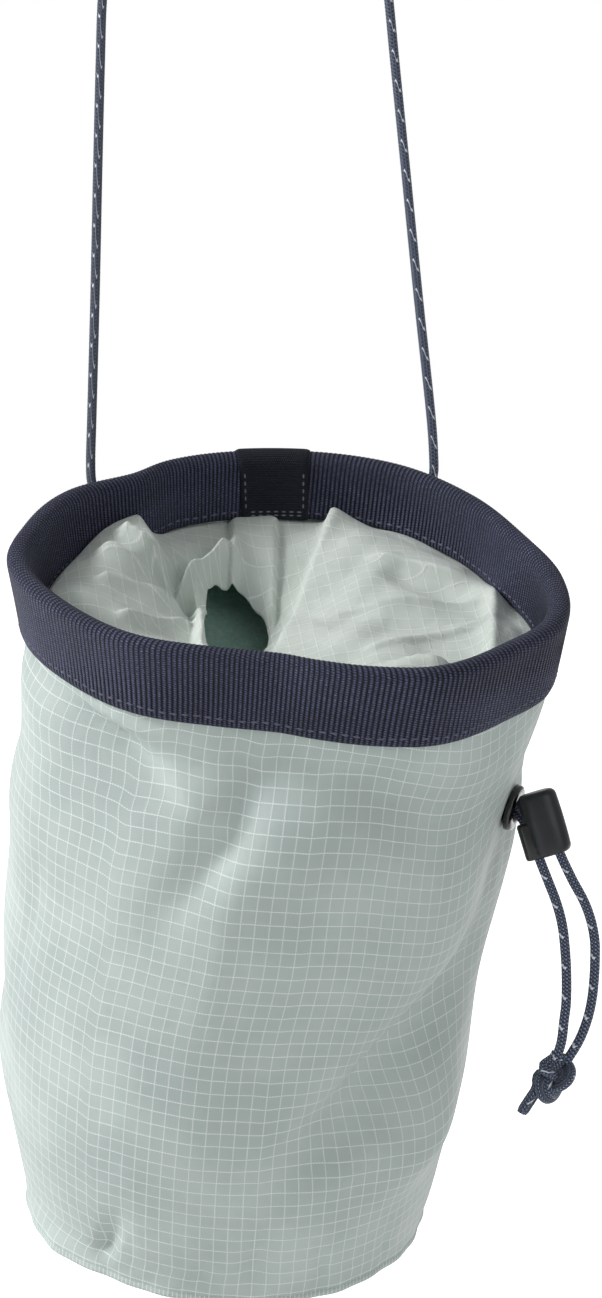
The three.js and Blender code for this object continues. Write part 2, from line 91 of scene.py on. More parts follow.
@dataclass(frozen=True)
class WallFold:
    """A dent or a swell of the wall: its place, half sizes, run and rise, as shares of the height."""

    name: str
    turn: float
    down: float
    long: float
    wide: float
    runs: float
    rise: float


@dataclass(frozen=True)
class CuffFold:
    """A fold of the cuff between two spots of the mouth, with a width to either side of its crest."""

    name: str
    start: tuple[float, float]
    end: tuple[float, float]
    left: float
    right: float
    rise: float
    crease: Crease


MOUTH_OUTLINE = np.array(
    [
        (0, 0.955),
        (12, 1.02),
        (25, 1.08),
        (45, 1.07),
        (61, 1.09),
        (83, 1.025),
        (105, 0.955),
        (128, 0.975),
        (150, 1.005),
        (180, 0.96),
        (206, 0.93),
        (220, 0.897),
        (238, 0.977),
        (259, 1.027),
        (276, 1.088),
        (300, 1.063),
        (318, 1.035),
        (335, 0.95),
        (350, 0.915),
    ]
)  # turn in degrees, reach as a share of the mouth radius

WALL_SECTIONS = np.array(
    [
        (0.0, 1.0, 0.0, 0.0),
        (0.118, 1.0, 0.022, 0.0),
        (0.18, 0.96, 0.012, -0.03),
        (0.24, 0.98, -0.002, -0.06),
        (0.33, 1.25, -0.026, -0.066),
        (0.45, 1.18, -0.036, -0.066),
        (0.59, 1.0, -0.078, -0.066),
        (0.76, 0.92, -0.084, -0.066),
        (0.88, 0.48, -0.07, -0.066),
        (0.95, 0.22, -0.06, -0.066),
        (1.0, 0.0, -0.058, -0.066),
    ]
)  # down, full, aside, back

WALL_FOLDS = (
    WallFold("rim crease", 308, 0.165, 0.15, 0.034, -24, -0.017),
    WallFold("crease runs on", 330, 0.18, 0.12, 0.035, -8, -0.013),
    WallFold("lit ridge", 332, 0.225, 0.1, 0.035, -20, 0.012),
    WallFold("valley beside it", 341, 0.27, 0.12, 0.04, 62, -0.013),
    WallFold("swollen shoulder", 290, 0.22, 0.18, 0.11, 70, 0.016),
    WallFold("dent on the right", 18, 0.19, 0.17, 0.055, -24, -0.014),
    WallFold("eyelet hollow", 62, 0.4, 0.14, 0.055, 75, -0.014),
    WallFold("slanting dent", 37, 0.63, 0.2, 0.065, 36, -0.032),
    WallFold("swell below it", 48, 0.78, 0.1, 0.07, 30, 0.014),
    WallFold("seam pucker", 321, 0.95, 0.06, 0.022, 65, -0.009),
    WallFold("second pucker", 2, 0.94, 0.05, 0.022, 80, -0.008),
    WallFold("back dent", 150, 0.42, 0.22, 0.07, 40, -0.018),
    WallFold("back swell", 205, 0.6, 0.2, 0.1, -30, 0.012),
    WallFold("far side dent", 255, 0.62, 0.2, 0.06, -40, -0.018),
)

# Finer creases that only the cloth itself shows
FINE_FOLDS = (
    WallFold("slanting dent deepens", 36, 0.63, 0.19, 0.05, 36, -0.016),
    WallFold("shoulder swells", 296, 0.24, 0.16, 0.08, 66, 0.01),
    WallFold("rim crease deepens", 310, 0.17, 0.14, 0.03, -24, -0.012),
    WallFold("right dent deepens", 18, 0.19, 0.15, 0.045, -24, -0.01),
    WallFold("valley deepens", 342, 0.28, 0.11, 0.032, 62, -0.01),
    WallFold("lit ridge sharpens", 331, 0.225, 0.09, 0.026, -20, 0.004),
    WallFold("low swell", 47, 0.79, 0.1, 0.06, 30, 0.009),
    WallFold("sharp rim crease", 306, 0.155, 0.075, 0.012, -26, -0.0075),
    WallFold("lip of the rim crease", 309, 0.178, 0.08, 0.014, -25, 0.006),
    WallFold("crease tail", 321, 0.2, 0.07, 0.014, -30, -0.005),
    WallFold("short crease at the rim", 341, 0.145, 0.05, 0.014, -48, -0.005),
    WallFold("rim tuck", 352, 0.14, 0.03, 0.012, 80, -0.004),
    WallFold("rim tuck on the right", 28, 0.14, 0.035, 0.012, 82, -0.004),
    WallFold("rim tuck near the eyelet", 50, 0.15, 0.04, 0.013, 100, -0.005),
    WallFold("dent edge", 33, 0.585, 0.17, 0.016, 36, 0.0055),
    WallFold("dent floor", 40, 0.655, 0.14, 0.018, 34, -0.006),
    WallFold("low crease", 25, 0.74, 0.12, 0.016, 30, -0.005),
    WallFold("low ridge", 28, 0.78, 0.12, 0.02, 28, 0.004),
    WallFold("seam tuck", 318, 0.965, 0.035, 0.01, 62, -0.006),
    WallFold("seam tuck lip", 324, 0.955, 0.035, 0.01, 66, 0.005),
    WallFold("seam tuck at the middle", 348, 0.97, 0.03, 0.009, 88, -0.005),
    WallFold("seam tuck on the right", 22, 0.965, 0.035, 0.011, 105, -0.005),
    WallFold("seam tuck far right", 44, 0.96, 0.035, 0.011, 112, -0.005),
    WallFold("side wrinkle", 292, 0.5, 0.14, 0.02, 78, -0.004),
    WallFold("middle wrinkle", 345, 0.42, 0.16, 0.022, 84, 0.0028),
    WallFold("middle wrinkle below", 356, 0.66, 0.13, 0.022, 70, -0.0028),
    WallFold("eyelet pull", 74, 0.3, 0.05, 0.014, 15, -0.006),
    WallFold("eyelet pull below", 72, 0.37, 0.06, 0.014, 98, -0.006),
    WallFold("back crease", 168, 0.3, 0.13, 0.016, 25, -0.006),
    WallFold("back ridge", 192, 0.48, 0.15, 0.018, -35, 0.005),
    WallFold("back seam tuck", 205, 0.965, 0.035, 0.011, 95, -0.005),
    WallFold("far side crease", 248, 0.36, 0.14, 0.016, 55, -0.006),
    WallFold("side crease", 105, 0.55, 0.15, 0.018, -50, -0.006),
)

CUFF_FOLDS = (
    CuffFold("puff at the left", (-49, 0), (-38, 27), 16, 11, 6.5, Crease.SOFT),
    CuffFold("peak", (-36, 44), (-29, 26), 9, 3, 4.2, Crease.SHARP),
    CuffFold("curl below the peak", (-36, 26), (-27, 20), 2.6, 2.0, 4.2, Crease.SHARP),
    CuffFold("upper gather", (-41, 17), (-27, 14), 3, 1.6, 3.6, Crease.SHARP),
    CuffFold("middle gather", (-42, 6), (-27, 7), 3, 1.6, 3.2, Crease.SHARP),
    CuffFold("lower gather", (-38, -8), (-25, -1), 3, 2, 3, Crease.SHARP),
    CuffFold("hollow of the twist", (-27, 18), (-21, 16), 4.5, 4.5, -7, Crease.SOFT),
    CuffFold("spike", (-13, 35), (-21, 23), 1.4, 6, 8.5, Crease.SHARP),
    CuffFold("edge of the flap", (-19, 16), (-21, -14), 1.5, 5, 4.5, Crease.SOFT),
    CuffFold("flat panel", (-3, 50), (-5, 26), 5.4, 5.4, 2.4, Crease.FLAT),
    CuffFold("right lobe", (34, 36), (14, -6), 17, 15, 3.5, Crease.SOFT),
    CuffFold("edge of the right lobe", (15, 48), (-2, -2), 1.0, 13, 4.6, Crease.SHARP),
    CuffFold("valley by the right edge", (27, 46), (46, 30), 4, 4, -1.6, Crease.SOFT),
    CuffFold("dent at the right", (30, 22), (40, 14), 5, 5, -2.6, Crease.SOFT),
    CuffFold("crease beside the dent", (26, 28), (41, 22), 1.4, 4, 1.8, Crease.SHARP),
    CuffFold("pointed fold", (53, 30), (46, -16), 3, 6, 3.6, Crease.SHARP),
    CuffFold("fold behind the front", (-14, -34), (28, -34), 9, 6, 6.5, Crease.SOFT),
    CuffFold("crease on that fold", (4, -24), (30, -30), 1.5, 5, 2.4, Crease.SHARP),
    CuffFold("wrinkle at the right", (20, -14), (44, -4), 1.5, 4, 1.6, Crease.SHARP),
    CuffFold("long wrinkle at the right", (16, 6), (44, 8), 1.4, 5, 1.1, Crease.SHARP),
)

# The gathered hole: where its edge lies round it, in millimetres
HOLE_OUTLINE = np.array(
    [
        (0, -13.0, -17.0, -26.0),
        (50, -8.0, -10.0, -28.0),
        (95, -5.0, 4.0, -31.0),
        (150, -1.5, 20.0, -32.0),
        (185, -8.0, 31.0, -30.0),
        (222, -15.5, 26.0, -28.0),
        (270, -18.0, 8.0, -24.0),
        (310, -20.0, -6.0, -23.0),
        (340, -18.0, -15.0, -24.0),
    ]
)  # turn, x, y, level


def smoothstep(value: np.ndarray, low: float, high: float) -> np.ndarray:
    """Rises smoothly from 0 at low to 1 at high.

    Args:
        value: What is looked up.
        low: Where the rise starts.
        high: Where it ends.

    Returns:
        The share, from 0 to 1.
    """
    share = np.clip((value - low) / (high - low), 0.0, 1.0)
    return share * share * (3.0 - 2.0 * share)


def turns_round(across: np.ndarray) -> np.ndarray:
    """Returns degrees round from the front centre for shares round the bag."""
    return (across - 0.5) * 360.0


def read_column(rows: np.ndarray, column: int, at: np.ndarray) -> np.ndarray:
    """Reads one column of a table between its rows, with a smooth curve through them.

    Args:
        rows: The table, whose first column rises.
        column: The column to read.
        at: Places in the first column.

    Returns:
        The values there.
    """
    keys, values = rows[:, 0], rows[:, column]
    last = len(keys) - 1
    high = np.clip(np.searchsorted(keys, at, side="right"), 1, last)
    low = high - 1
    before, after = np.maximum(high - 2, 0), np.minimum(high + 1, last)
    span = keys[high] - keys[low]
    share = np.clip((at - keys[low]) / span, 0.0, 1.0)
    slope_low = (values[high] - values[before]) / (keys[high] - keys[before]) * span
    slope_high = (values[after] - values[low]) / (keys[after] - keys[low]) * span
    cube, square = share**3, share**2
    return (
        (2 * cube - 3 * square + 1) * values[low]
        + (cube - 2 * square + share) * slope_low
        + (3 * square - 2 * cube) * values[high]
        + (cube - square) * slope_high
    )


def repeat_turns(rows: np.ndarray) -> np.ndarray:
    """Repeats a table of turns a whole turn before and after.

    Args:
        rows: The table, with turns in degrees in its first column.

    Returns:
        The table three times over.
    """
    step = np.zeros(rows.shape[1])
    step[0] = 360.0
    return np.concatenate([rows - step, rows, rows + step])


CLOSED_OUTLINE = repeat_turns(MOUTH_OUTLINE)
CLOSED_HOLE = repeat_turns(HOLE_OUTLINE)


@dataclass(frozen=True)
class BagForm:
    """The bag as it hangs. Lengths are millimetres and angles degrees."""

    mouth_radius: float = 62.0
    height: float = 171.0
    base_radius: float = 49.0
    webbing_height: float = 20.0
    webbing_inside: float = 16.0
    webbing_taper: float = 3.0
    webbing_wall: float = 1.05
    shell_wall: float = 1.0
    cuff_wall: float = 1.0
    fleece_wall: float = 1.5
    base_wall: float = 1.2
    piping_radius: float = 1.1
    gap: float = 0.3
    mouth_centre: tuple[float, float, float] = (11.4, -43.6, -168.0)
    tip_forward: float = 23.0
    lean_right: float = 5.0
    turn_round: float = 8.0
    relax_height: float = 36.0
    fold_fade_above: float = 9.0
    fold_fade_below: float = 7.0
    fold_boost: float = 1.3
    eyelet_turn: float = 68.0
    eyelet_drop: float = 52.0

    def pose(self) -> np.ndarray:
        """Returns the rotation from the bag's frame to the scene's."""
        lean = Matrix.Rotation(math.radians(self.lean_right), 3, "Y")
        tip = Matrix.Rotation(math.radians(self.tip_forward), 3, "X")
        turn = Matrix.Rotation(math.radians(self.turn_round), 3, "Z")
        return np.array(lean @ tip @ turn)

    def to_scene(self, points: np.ndarray) -> np.ndarray:
        """Moves points from the bag's frame, in millimetres, to the scene, in metres."""
        return (points @ self.pose().T + np.array(self.mouth_centre)) * MM

    def wall_radius(self, level: np.ndarray) -> np.ndarray:
        """Works out the sewn wall's outer radius.

        Args:
            level: Levels below the crest.

        Returns:
            The radius at each level.
        """
        top = self.mouth_radius - self.webbing_wall - self.gap
        neck = top - self.webbing_taper
        upper = top + (neck - top) * np.clip(-level / self.webbing_height, None, 1.0)
        full = read_column(WALL_SECTIONS, 1, -level / self.height)
        lower = self.base_radius + (neck - self.base_radius) * full
        return np.where(level > -self.webbing_height, upper, lower)

    def fold_rise(
        self, turn: np.ndarray, level: np.ndarray, folds: Sequence[WallFold]
    ) -> np.ndarray:
        """Adds up how far folds lift the wall.

        Args:
            turn: Degrees round from the front centre.
            level: Levels below the crest.
            folds: The folds that count.

        Returns:
            The rise at each place.
        """
        rise = np.zeros(np.broadcast(turn, level).shape)
        for fold in folds:
            apart = (turn - fold.turn + 180.0) % 360.0 - 180.0
            around = np.radians(apart) * self.mouth_radius
            up = level + fold.down * self.height
            cosine, sine = math.cos(math.radians(fold.runs)), math.sin(math.radians(fold.runs))
            along = (around * cosine + up * sine) / (fold.long * self.height)
            across = (up * cosine - around * sine) / (fold.wide * self.height)
            rise += fold.rise * self.height * np.exp(-(along**2) - across**2)
        low = self.webbing_height
        rise *= smoothstep(-level, low, low + self.fold_fade_above)
        return rise * (1 - smoothstep(-level, self.height - self.fold_fade_below, self.height))

    def settle(
        self,
        turn: np.ndarray,
        out: np.ndarray,
        level: np.ndarray,
        fine: bool = False,
    ) -> np.ndarray:
        """Finds where points of the sewn, round bag lie once it hangs.

        Args:
            turn: Degrees round from the front centre towards +X.
            out: Distance out from the wall's outside.
            level: Levels below the crest.
            fine: Whether the finer creases count too.

        Returns:
            The points, in the bag's frame.
        """
        turn, out, level = np.broadcast_arrays(turn, out, level)
        wall = self.wall_radius(level)
        share = (wall + out) / wall
        relaxed = smoothstep(-level, self.webbing_height, self.webbing_height + self.relax_height)
        outline = read_column(CLOSED_OUTLINE, 1, turn % 360.0)
        reach = (wall + out) * (outline + (1.0 - outline) * relaxed)
        rise = self.fold_rise(turn, level, WALL_FOLDS)
        if fine:
            rise = rise * self.fold_boost + self.fold_rise(turn, level, FINE_FOLDS)
        reach = reach + rise * share**2
        down = np.clip(-level / self.height, 0.0, 1.0)
        aside = read_column(WALL_SECTIONS, 2, down) * self.mouth_radius
        back = read_column(WALL_SECTIONS, 3, down) * self.mouth_radius
        angle = np.radians(turn)
        x, y = reach * np.sin(angle) + aside, back - reach * np.cos(angle)
        return np.stack([x, y, level + 0.0 * x], axis=-1)

    def seat(self, turn: float, level: float, out: float = 0.0) -> Matrix:
        """Makes the frame of a fitting on the wall.

        Args:
            turn: Degrees round from the front centre.
            level: Its level below the crest.
            out: Distance out from the wall.

        Returns:
            A matrix in metres, with +Z out of the cloth and +Y up it.
        """
        step = 1.0
        spots = self.settle(
            np.array([turn, turn + step, turn - step, turn, turn]),
            np.full(5, out),
            np.array([level, level, level, level + step, level - step]),
        )
        spots = self.to_scene(spots)
        aside, upward = Vector(spots[1] - spots[2]), Vector(spots[3] - spots[4])
        normal = aside.cross(upward).normalized()
        upward = (upward - normal * upward.dot(normal)).normalized()
        across = upward.cross(normal)
        turned = Matrix((across, upward, normal)).transposed().to_4x4()
        return Matrix.Translation(Vector(spots[0])) @ turned

    def eyelet_seat(self) -> Matrix:
        """Returns the frame of the drawcord's eyelet."""
        return self.seat(self.eyelet_turn, -self.eyelet_drop)


# Shader effects


class Wiring:
    """Adds and joins the nodes of one shader tree."""

    def __init__(self, tree: bpy.types.NodeTree) -> None:
        """Keeps the tree that nodes go into."""
        self.tree = tree

    def node(self, kind: str, **settings: object) -> bpy.types.Node:
        """Adds a node.

        Args:
            kind: The node's type name.
            **settings: Properties to set on it.

        Returns:
            The node.
        """
        made = self.tree.nodes.new(kind)
        for name, value in settings.items():
            setattr(made, name, value)
        return made

    def feed(self, socket: bpy.types.NodeSocket, value: object) -> None:
        """Links a socket into another, or sets its plain value.

        Args:
            socket: The input.
            value: A socket, or a plain value.
        """
        if isinstance(value, bpy.types.NodeSocket):
            self.tree.links.new(value, socket)
        else:
            socket.default_value = value

    def math(self, operation: str, *values: object, clamp: bool = False) -> bpy.types.NodeSocket:
        """Adds a math node.

        Args:
            operation: The math node's operation.
            *values: Its inputs, as sockets or numbers.
            clamp: Whether the result is kept between 0 and 1.

        Returns:
            The result's socket.
        """
        made = self.node("ShaderNodeMath", operation=operation, use_clamp=clamp)
        for socket, value in zip(made.inputs, values, strict=False):
            self.feed(socket, value)
        return made.outputs[0]

    def remap(
        self, value: object, low: object, high: object, start: float, end: float
    ) -> bpy.types.NodeSocket:
        """Adds a smooth map range.

        Args:
            value: What is mapped.
            low: Where the range starts.
            high: Where it ends.
            start: The result at low.
            end: The result at high.

        Returns:
            The result's socket.
        """
        made = self.node("ShaderNodeMapRange", interpolation_type="SMOOTHSTEP")
        for socket, given in zip(made.inputs, (value, low, high, start, end), strict=False):
            self.feed(socket, given)
        return made.outputs[0]

    def mix(self, share: object, first: object, second: object) -> bpy.types.NodeSocket:
        """Mixes two colours.

        Args:
            share: How much of the second shows.
            first: A colour.
            second: Another.

        Returns:
            The mixed colour's socket.
        """
        made = self.node("ShaderNodeMix", data_type="RGBA")
        self.feed(made.inputs["Factor"], share)
        self.feed(made.inputs[6], first)
        self.feed(made.inputs[7], second)
        return made.outputs[2]

    def noise(self, vector: object, scale: float, detail: float = 3.0) -> bpy.types.NodeSocket:
        """Adds a noise texture.

        Args:
            vector: The coordinates.
            scale: Its scale.
            detail: Its detail.

        Returns:
            The value's socket.
        """
        made = self.node("ShaderNodeTexNoise")
        self.feed(made.inputs["Vector"], vector)
        made.inputs["Scale"].default_value = scale
        made.inputs["Detail"].default_value = detail
        return made.outputs["Fac"]

    def split(self, vector: object) -> tuple[bpy.types.NodeSocket, ...]:
        """Separates a vector.

        Args:
            vector: The vector.

        Returns:
            Its three sockets.
        """
        made = self.node("ShaderNodeSeparateXYZ")
        self.feed(made.inputs[0], vector)
        return tuple(made.outputs)


def start_group(
    name: str, inputs: Sequence[tuple[str, str]], outputs: Sequence[str]
) -> tuple[bpy.types.NodeTree, Wiring, dict, bpy.types.Node]:
    """Starts a shader node group.

    Args:
        name: The group's name.
        inputs: Names and socket types.
        outputs: Names of its value outputs.

    Returns:
        The group, its wiring, its inputs by name and its output node.
    """
    group = bpy.data.node_groups.new(name, "ShaderNodeTree")
    for label, kind in inputs:
        group.interface.new_socket(label, in_out="INPUT", socket_type=kind)
    for label in outputs:
        group.interface.new_socket(label, in_out="OUTPUT", socket_type="NodeSocketFloat")
    wiring = Wiring(group)
    entry, leave = wiring.node("NodeGroupInput"), wiring.node("NodeGroupOutput")
    given = {label: entry.outputs[label] for label, _ in inputs}
    return group, wiring, given, leave


VECTOR, NUMBER = "NodeSocketVector", "NodeSocketFloat"
GRID_BEAT = 9000.0
GRID_DEPTH = 0.3


class Effects:
    """The shader node groups that the finishes share."""

    def __init__(self) -> None:
        """Builds each group once."""
        self.grid = self.build_grid()
        self.weave = self.build_weave()
        self.ribs = self.build_ribs()
        self.braid = self.build_braid()
        self.wear = self.build_wear()

    def build_grid(self) -> bpy.types.NodeTree:
        """Builds the ripstop's raised grid of thicker threads and returns the group."""
        group, w, given, leave = start_group(
            "RipstopGrid",
            [("Vector", VECTOR), ("Across", NUMBER), ("Up", NUMBER), ("Width", NUMBER)],
            ["Line", "Height"],
        )
        u, v, _ = w.split(given["Vector"])
        masks = []
        for along, pitch, other, strength in ((u, "Across", v, 0.72), (v, "Up", u, 1.0)):
            place = w.math("FRACT", w.math("DIVIDE", along, given[pitch]))
            off = w.math("MULTIPLY", w.math("ABSOLUTE", w.math("SUBTRACT", place, 0.5)), given[pitch])
            line = w.remap(off, 0.0, given["Width"], 1.0, 0.0)
            beat = w.math("SINE", w.math("MULTIPLY", other, GRID_BEAT))
            dotted = w.math("MULTIPLY_ADD", beat, GRID_DEPTH, 1 - GRID_DEPTH)
            masks.append(w.math("MULTIPLY", w.math("MULTIPLY", line, dotted), strength))
        line = w.math("MAXIMUM", masks[0], masks[1])
        w.feed(leave.inputs["Line"], line)
        w.feed(leave.inputs["Height"], line)
        return group

    def build_weave(self) -> bpy.types.NodeTree:
        """Builds a plain weave of fine threads and returns the group."""
        group, w, given, leave = start_group(
            "PlainWeave", [("Vector", VECTOR), ("Thread", NUMBER)], ["Height"]
        )
        u, v, _ = w.split(given["Vector"])
        turns = [w.math("DIVIDE", part, given["Thread"]) for part in (u, v)]
        waves = [w.math("SINE", w.math("MULTIPLY", part, math.pi)) for part in turns]
        crossed = w.math("MULTIPLY", waves[0], waves[1])
        w.feed(leave.inputs["Height"], w.math("MULTIPLY_ADD", crossed, 0.5, 0.5))
        return group

    def build_ribs(self) -> bpy.types.NodeTree:
        """Builds webbing's ribs, each wound of short threads, and returns the group."""
        group, w, given, leave = start_group(
            "RibWeave",
            [("Vector", VECTOR), ("Rib", NUMBER), ("Thread", NUMBER)],
            ["Crown", "Height"],
        )
        u, v, _ = w.split(given["Vector"])
        place = w.math("DIVIDE", u, given["Rib"])
        crown = w.math("ABSOLUTE", w.math("SINE", w.math("MULTIPLY", place, math.pi)))
        odd = w.math("MULTIPLY", w.math("FLOOR", place), 0.5)
        turn = w.math("ADD", w.math("DIVIDE", v, given["Thread"]), odd)
        slant = w.math("MULTIPLY_ADD", w.math("FRACT", place), 0.35, turn)
        thread = w.math("ABSOLUTE", w.math("SINE", w.math("MULTIPLY", slant, math.pi)))
        height = w.math("MULTIPLY", crown, w.math("MULTIPLY_ADD", thread, 0.6, 0.4))
        w.feed(leave.inputs["Crown"], crown)
        w.feed(leave.inputs["Height"], height)
        return group

    def build_braid(self) -> bpy.types.NodeTree:
        """Builds a braided cover with a pale tracer thread and returns the group."""
        group, w, given, leave = start_group(
            "Braid",
            [("Vector", VECTOR), ("Girth", NUMBER), ("Pitch", NUMBER), ("Strands", NUMBER)],
            ["Height", "Pale", "Tracer"],
        )
        u, v, _ = w.split(given["Vector"])
        along, around = w.math("DIVIDE", u, given["Pitch"]), w.math("DIVIDE", v, given["Girth"])
        right = w.math("ADD", along, around)
        left = w.math("SUBTRACT", along, around)
        strands = []
        for way in (right, left):
            place = w.math("MULTIPLY", way, given["Strands"])
            strands.append((w.math("SINE", w.math("MULTIPLY", place, math.pi)), place))
        height = w.math("ABSOLUTE", w.math("MULTIPLY", strands[0][0], strands[1][0]))
        order = w.math("FLOOR", strands[0][1])
        over = w.math("MODULO", w.math("ADD", order, w.math("FLOOR", strands[1][1])), 2.0)
        pale = w.math("MULTIPLY", w.math("ABSOLUTE", over), height)
        near = w.math("ABSOLUTE", w.math("SUBTRACT", w.math("FRACT", right), 0.5))
        thread = w.remap(near, 0.03, 0.06, 1.0, 0.0)
        shown = w.math("SINE", w.math("MULTIPLY", left, 2 * math.pi))
        tracer = w.math("MULTIPLY", thread, w.remap(shown, 0.25, 0.45, 0.0, 1.0))
        w.feed(leave.inputs["Height"], height)
        w.feed(leave.inputs["Pale"], pale)
        w.feed(leave.inputs["Tracer"], tracer)
        return group

    def build_wear(self) -> bpy.types.NodeTree:
        """Builds soft, uneven tone and rumpling and returns the group."""
        group, w, given, leave = start_group(
            "ClothWear", [("Vector", VECTOR), ("Scale", NUMBER)], ["Tone", "Rumple"]
        )
        vector = w.node("ShaderNodeVectorMath", operation="SCALE")
        w.feed(vector.inputs[0], given["Vector"])
        w.feed(vector.inputs["Scale"], given["Scale"])
        tone = w.noise(vector.outputs[0], 1.0, 4.0)
        rumple = w.noise(vector.outputs[0], 2.6, 2.0)
        w.feed(leave.inputs["Tone"], w.remap(tone, 0.3, 0.7, 0.0, 1.0))
        w.feed(leave.inputs["Rumple"], rumple)
        return group


def linear(red: float, green: float, blue: float) -> tuple[float, float, float, float]:
    """Turns an sRGB colour, 0 to 255, to linear light.

    Args:
        red: Red.
        green: Green.
        blue: Blue.

    Returns:
        The linear colour with full alpha.
    """

    def one(value: float) -> float:
        """Returns one channel as linear light."""
        share = value / 255.0
        return share / 12.92 if share <= 0.04045 else ((share + 0.055) / 1.055) ** 2.4

    return one(red), one(green), one(blue), 1.0


class Dresser:
    """Starts materials and places the shared effects in them."""

    def __init__(self, effects: Effects) -> None:
        """Keeps the shared effects."""
        self.effects = effects

    def start(
        self, name: str, roughness: float, specular: float, more: dict[str, object]
    ) -> tuple[bpy.types.Material, Wiring, bpy.types.Node]:
        """Starts a material with one Principled shader.

        Args:
            name: The material's name.
            roughness: Its plain roughness.
            specular: Its specular level.
            more: Further inputs and their values.

        Returns:
            The material, its wiring and its shader node.
        """
        material = bpy.data.materials.new(name)
        material.use_nodes = True
        wiring = Wiring(material.node_tree)
        shader = material.node_tree.nodes["Principled BSDF"]
        plain = {"Roughness": roughness, "Specular IOR Level": specular}
        for label, value in {**plain, **more}.items():
            shader.inputs[label].default_value = value
        return material, wiring, shader

    def place(
        self, wiring: Wiring, group: bpy.types.NodeTree, vector: object, **values: float
    ) -> bpy.types.Node:
        """Places a shared effect.

        Args:
            wiring: The material's wiring.
            group: The effect.
            vector: The coordinates that it reads.
            **values: Its other inputs.

        Returns:
            The group's node.
        """
        node = wiring.node("ShaderNodeGroup", node_tree=group)
        wiring.feed(node.inputs["Vector"], vector)
        for label, value in values.items():
            wiring.feed(node.inputs[label], value)
        return node

    def cloth_map(self, wiring: Wiring) -> bpy.types.NodeSocket:
        """Returns the socket of the piece's own map, in metres."""
        return wiring.node("ShaderNodeUVMap", uv_map=CLOTH_MAP).outputs[0]

    def object_map(self, wiring: Wiring) -> bpy.types.NodeSocket:
        """Returns the socket of Object coordinates."""
        return wiring.node("ShaderNodeTexCoord").outputs["Object"]

    def bumps(
        self, wiring: Wiring, shader: bpy.types.Node, layers: Sequence[tuple[object, float]]
    ) -> None:
        """Chains bump nodes into a shader's normal.

        Args:
            wiring: The material's wiring.
            shader: The shader node.
            layers: Heights from 0 to 1, and how many metres each stands for.
        """
        normal = None
        for height, distance in layers:
            bump = wiring.node("ShaderNodeBump")
            bump.inputs["Distance"].default_value = distance
            wiring.feed(bump.inputs["Height"], height)
            if normal is not None:
                wiring.feed(bump.inputs["Normal"], normal)
            normal = bump.outputs[0]
        wiring.feed(shader.inputs["Normal"], normal)


@dataclass(frozen=True)
class RipstopFinish:
    """Thin coated cloth with a pale raised grid."""

    name: str = "ripstop_cloth"
    cloth: tuple[float, float, float] = (187, 199, 195)
    shade: tuple[float, float, float] = (168, 181, 178)
    thread: tuple[float, float, float] = (244, 249, 247)
    across: float = 3.3 * MM
    up: float = 3.6 * MM
    line_width: float = 0.24 * MM
    weave: float = 0.24 * MM
    roughness: float = 0.48
    rumple: float = 0.8 * MM
    glow: float = 0.25

    def build(self, dresser: Dresser) -> bpy.types.Material:
        """Builds the material.

        Args:
            dresser: What places shared effects.

        Returns:
            The material.
        """
        more = {
            "Subsurface Weight": self.glow,
            "Subsurface Radius": (1.0, 1.0, 1.0),
            "Subsurface Scale": 1.2 * MM,
            "Sheen Weight": 0.12,
            "Sheen Roughness": 0.4,
        }
        material, w, shader = dresser.start(self.name, self.roughness, 0.4, more)
        uv = dresser.cloth_map(w)
        spot = dresser.object_map(w)
        grid = dresser.place(
            w, dresser.effects.grid, uv, Across=self.across, Up=self.up, Width=self.line_width
        )
        weave = dresser.place(w, dresser.effects.weave, uv, Thread=self.weave)
        wear = dresser.place(w, dresser.effects.wear, spot, Scale=38.0)
        tone = w.math("MULTIPLY_ADD", weave.outputs["Height"], 0.35, wear.outputs["Tone"])
        cloth = w.mix(w.math("MULTIPLY", tone, 0.74), linear(*self.cloth), linear(*self.shade))
        colour = w.mix(grid.outputs["Line"], cloth, linear(*self.thread))
        w.feed(shader.inputs["Base Color"], colour)
        rough = w.math("MULTIPLY_ADD", wear.outputs["Tone"], 0.1, self.roughness)
        w.feed(shader.inputs["Roughness"], rough)
        dresser.bumps(
            w,
            shader,
            (
                (wear.outputs["Rumple"], self.rumple),
                (weave.outputs["Height"], 0.03 * MM),
                (grid.outputs["Height"], 0.11 * MM),
            ),
        )
        return material


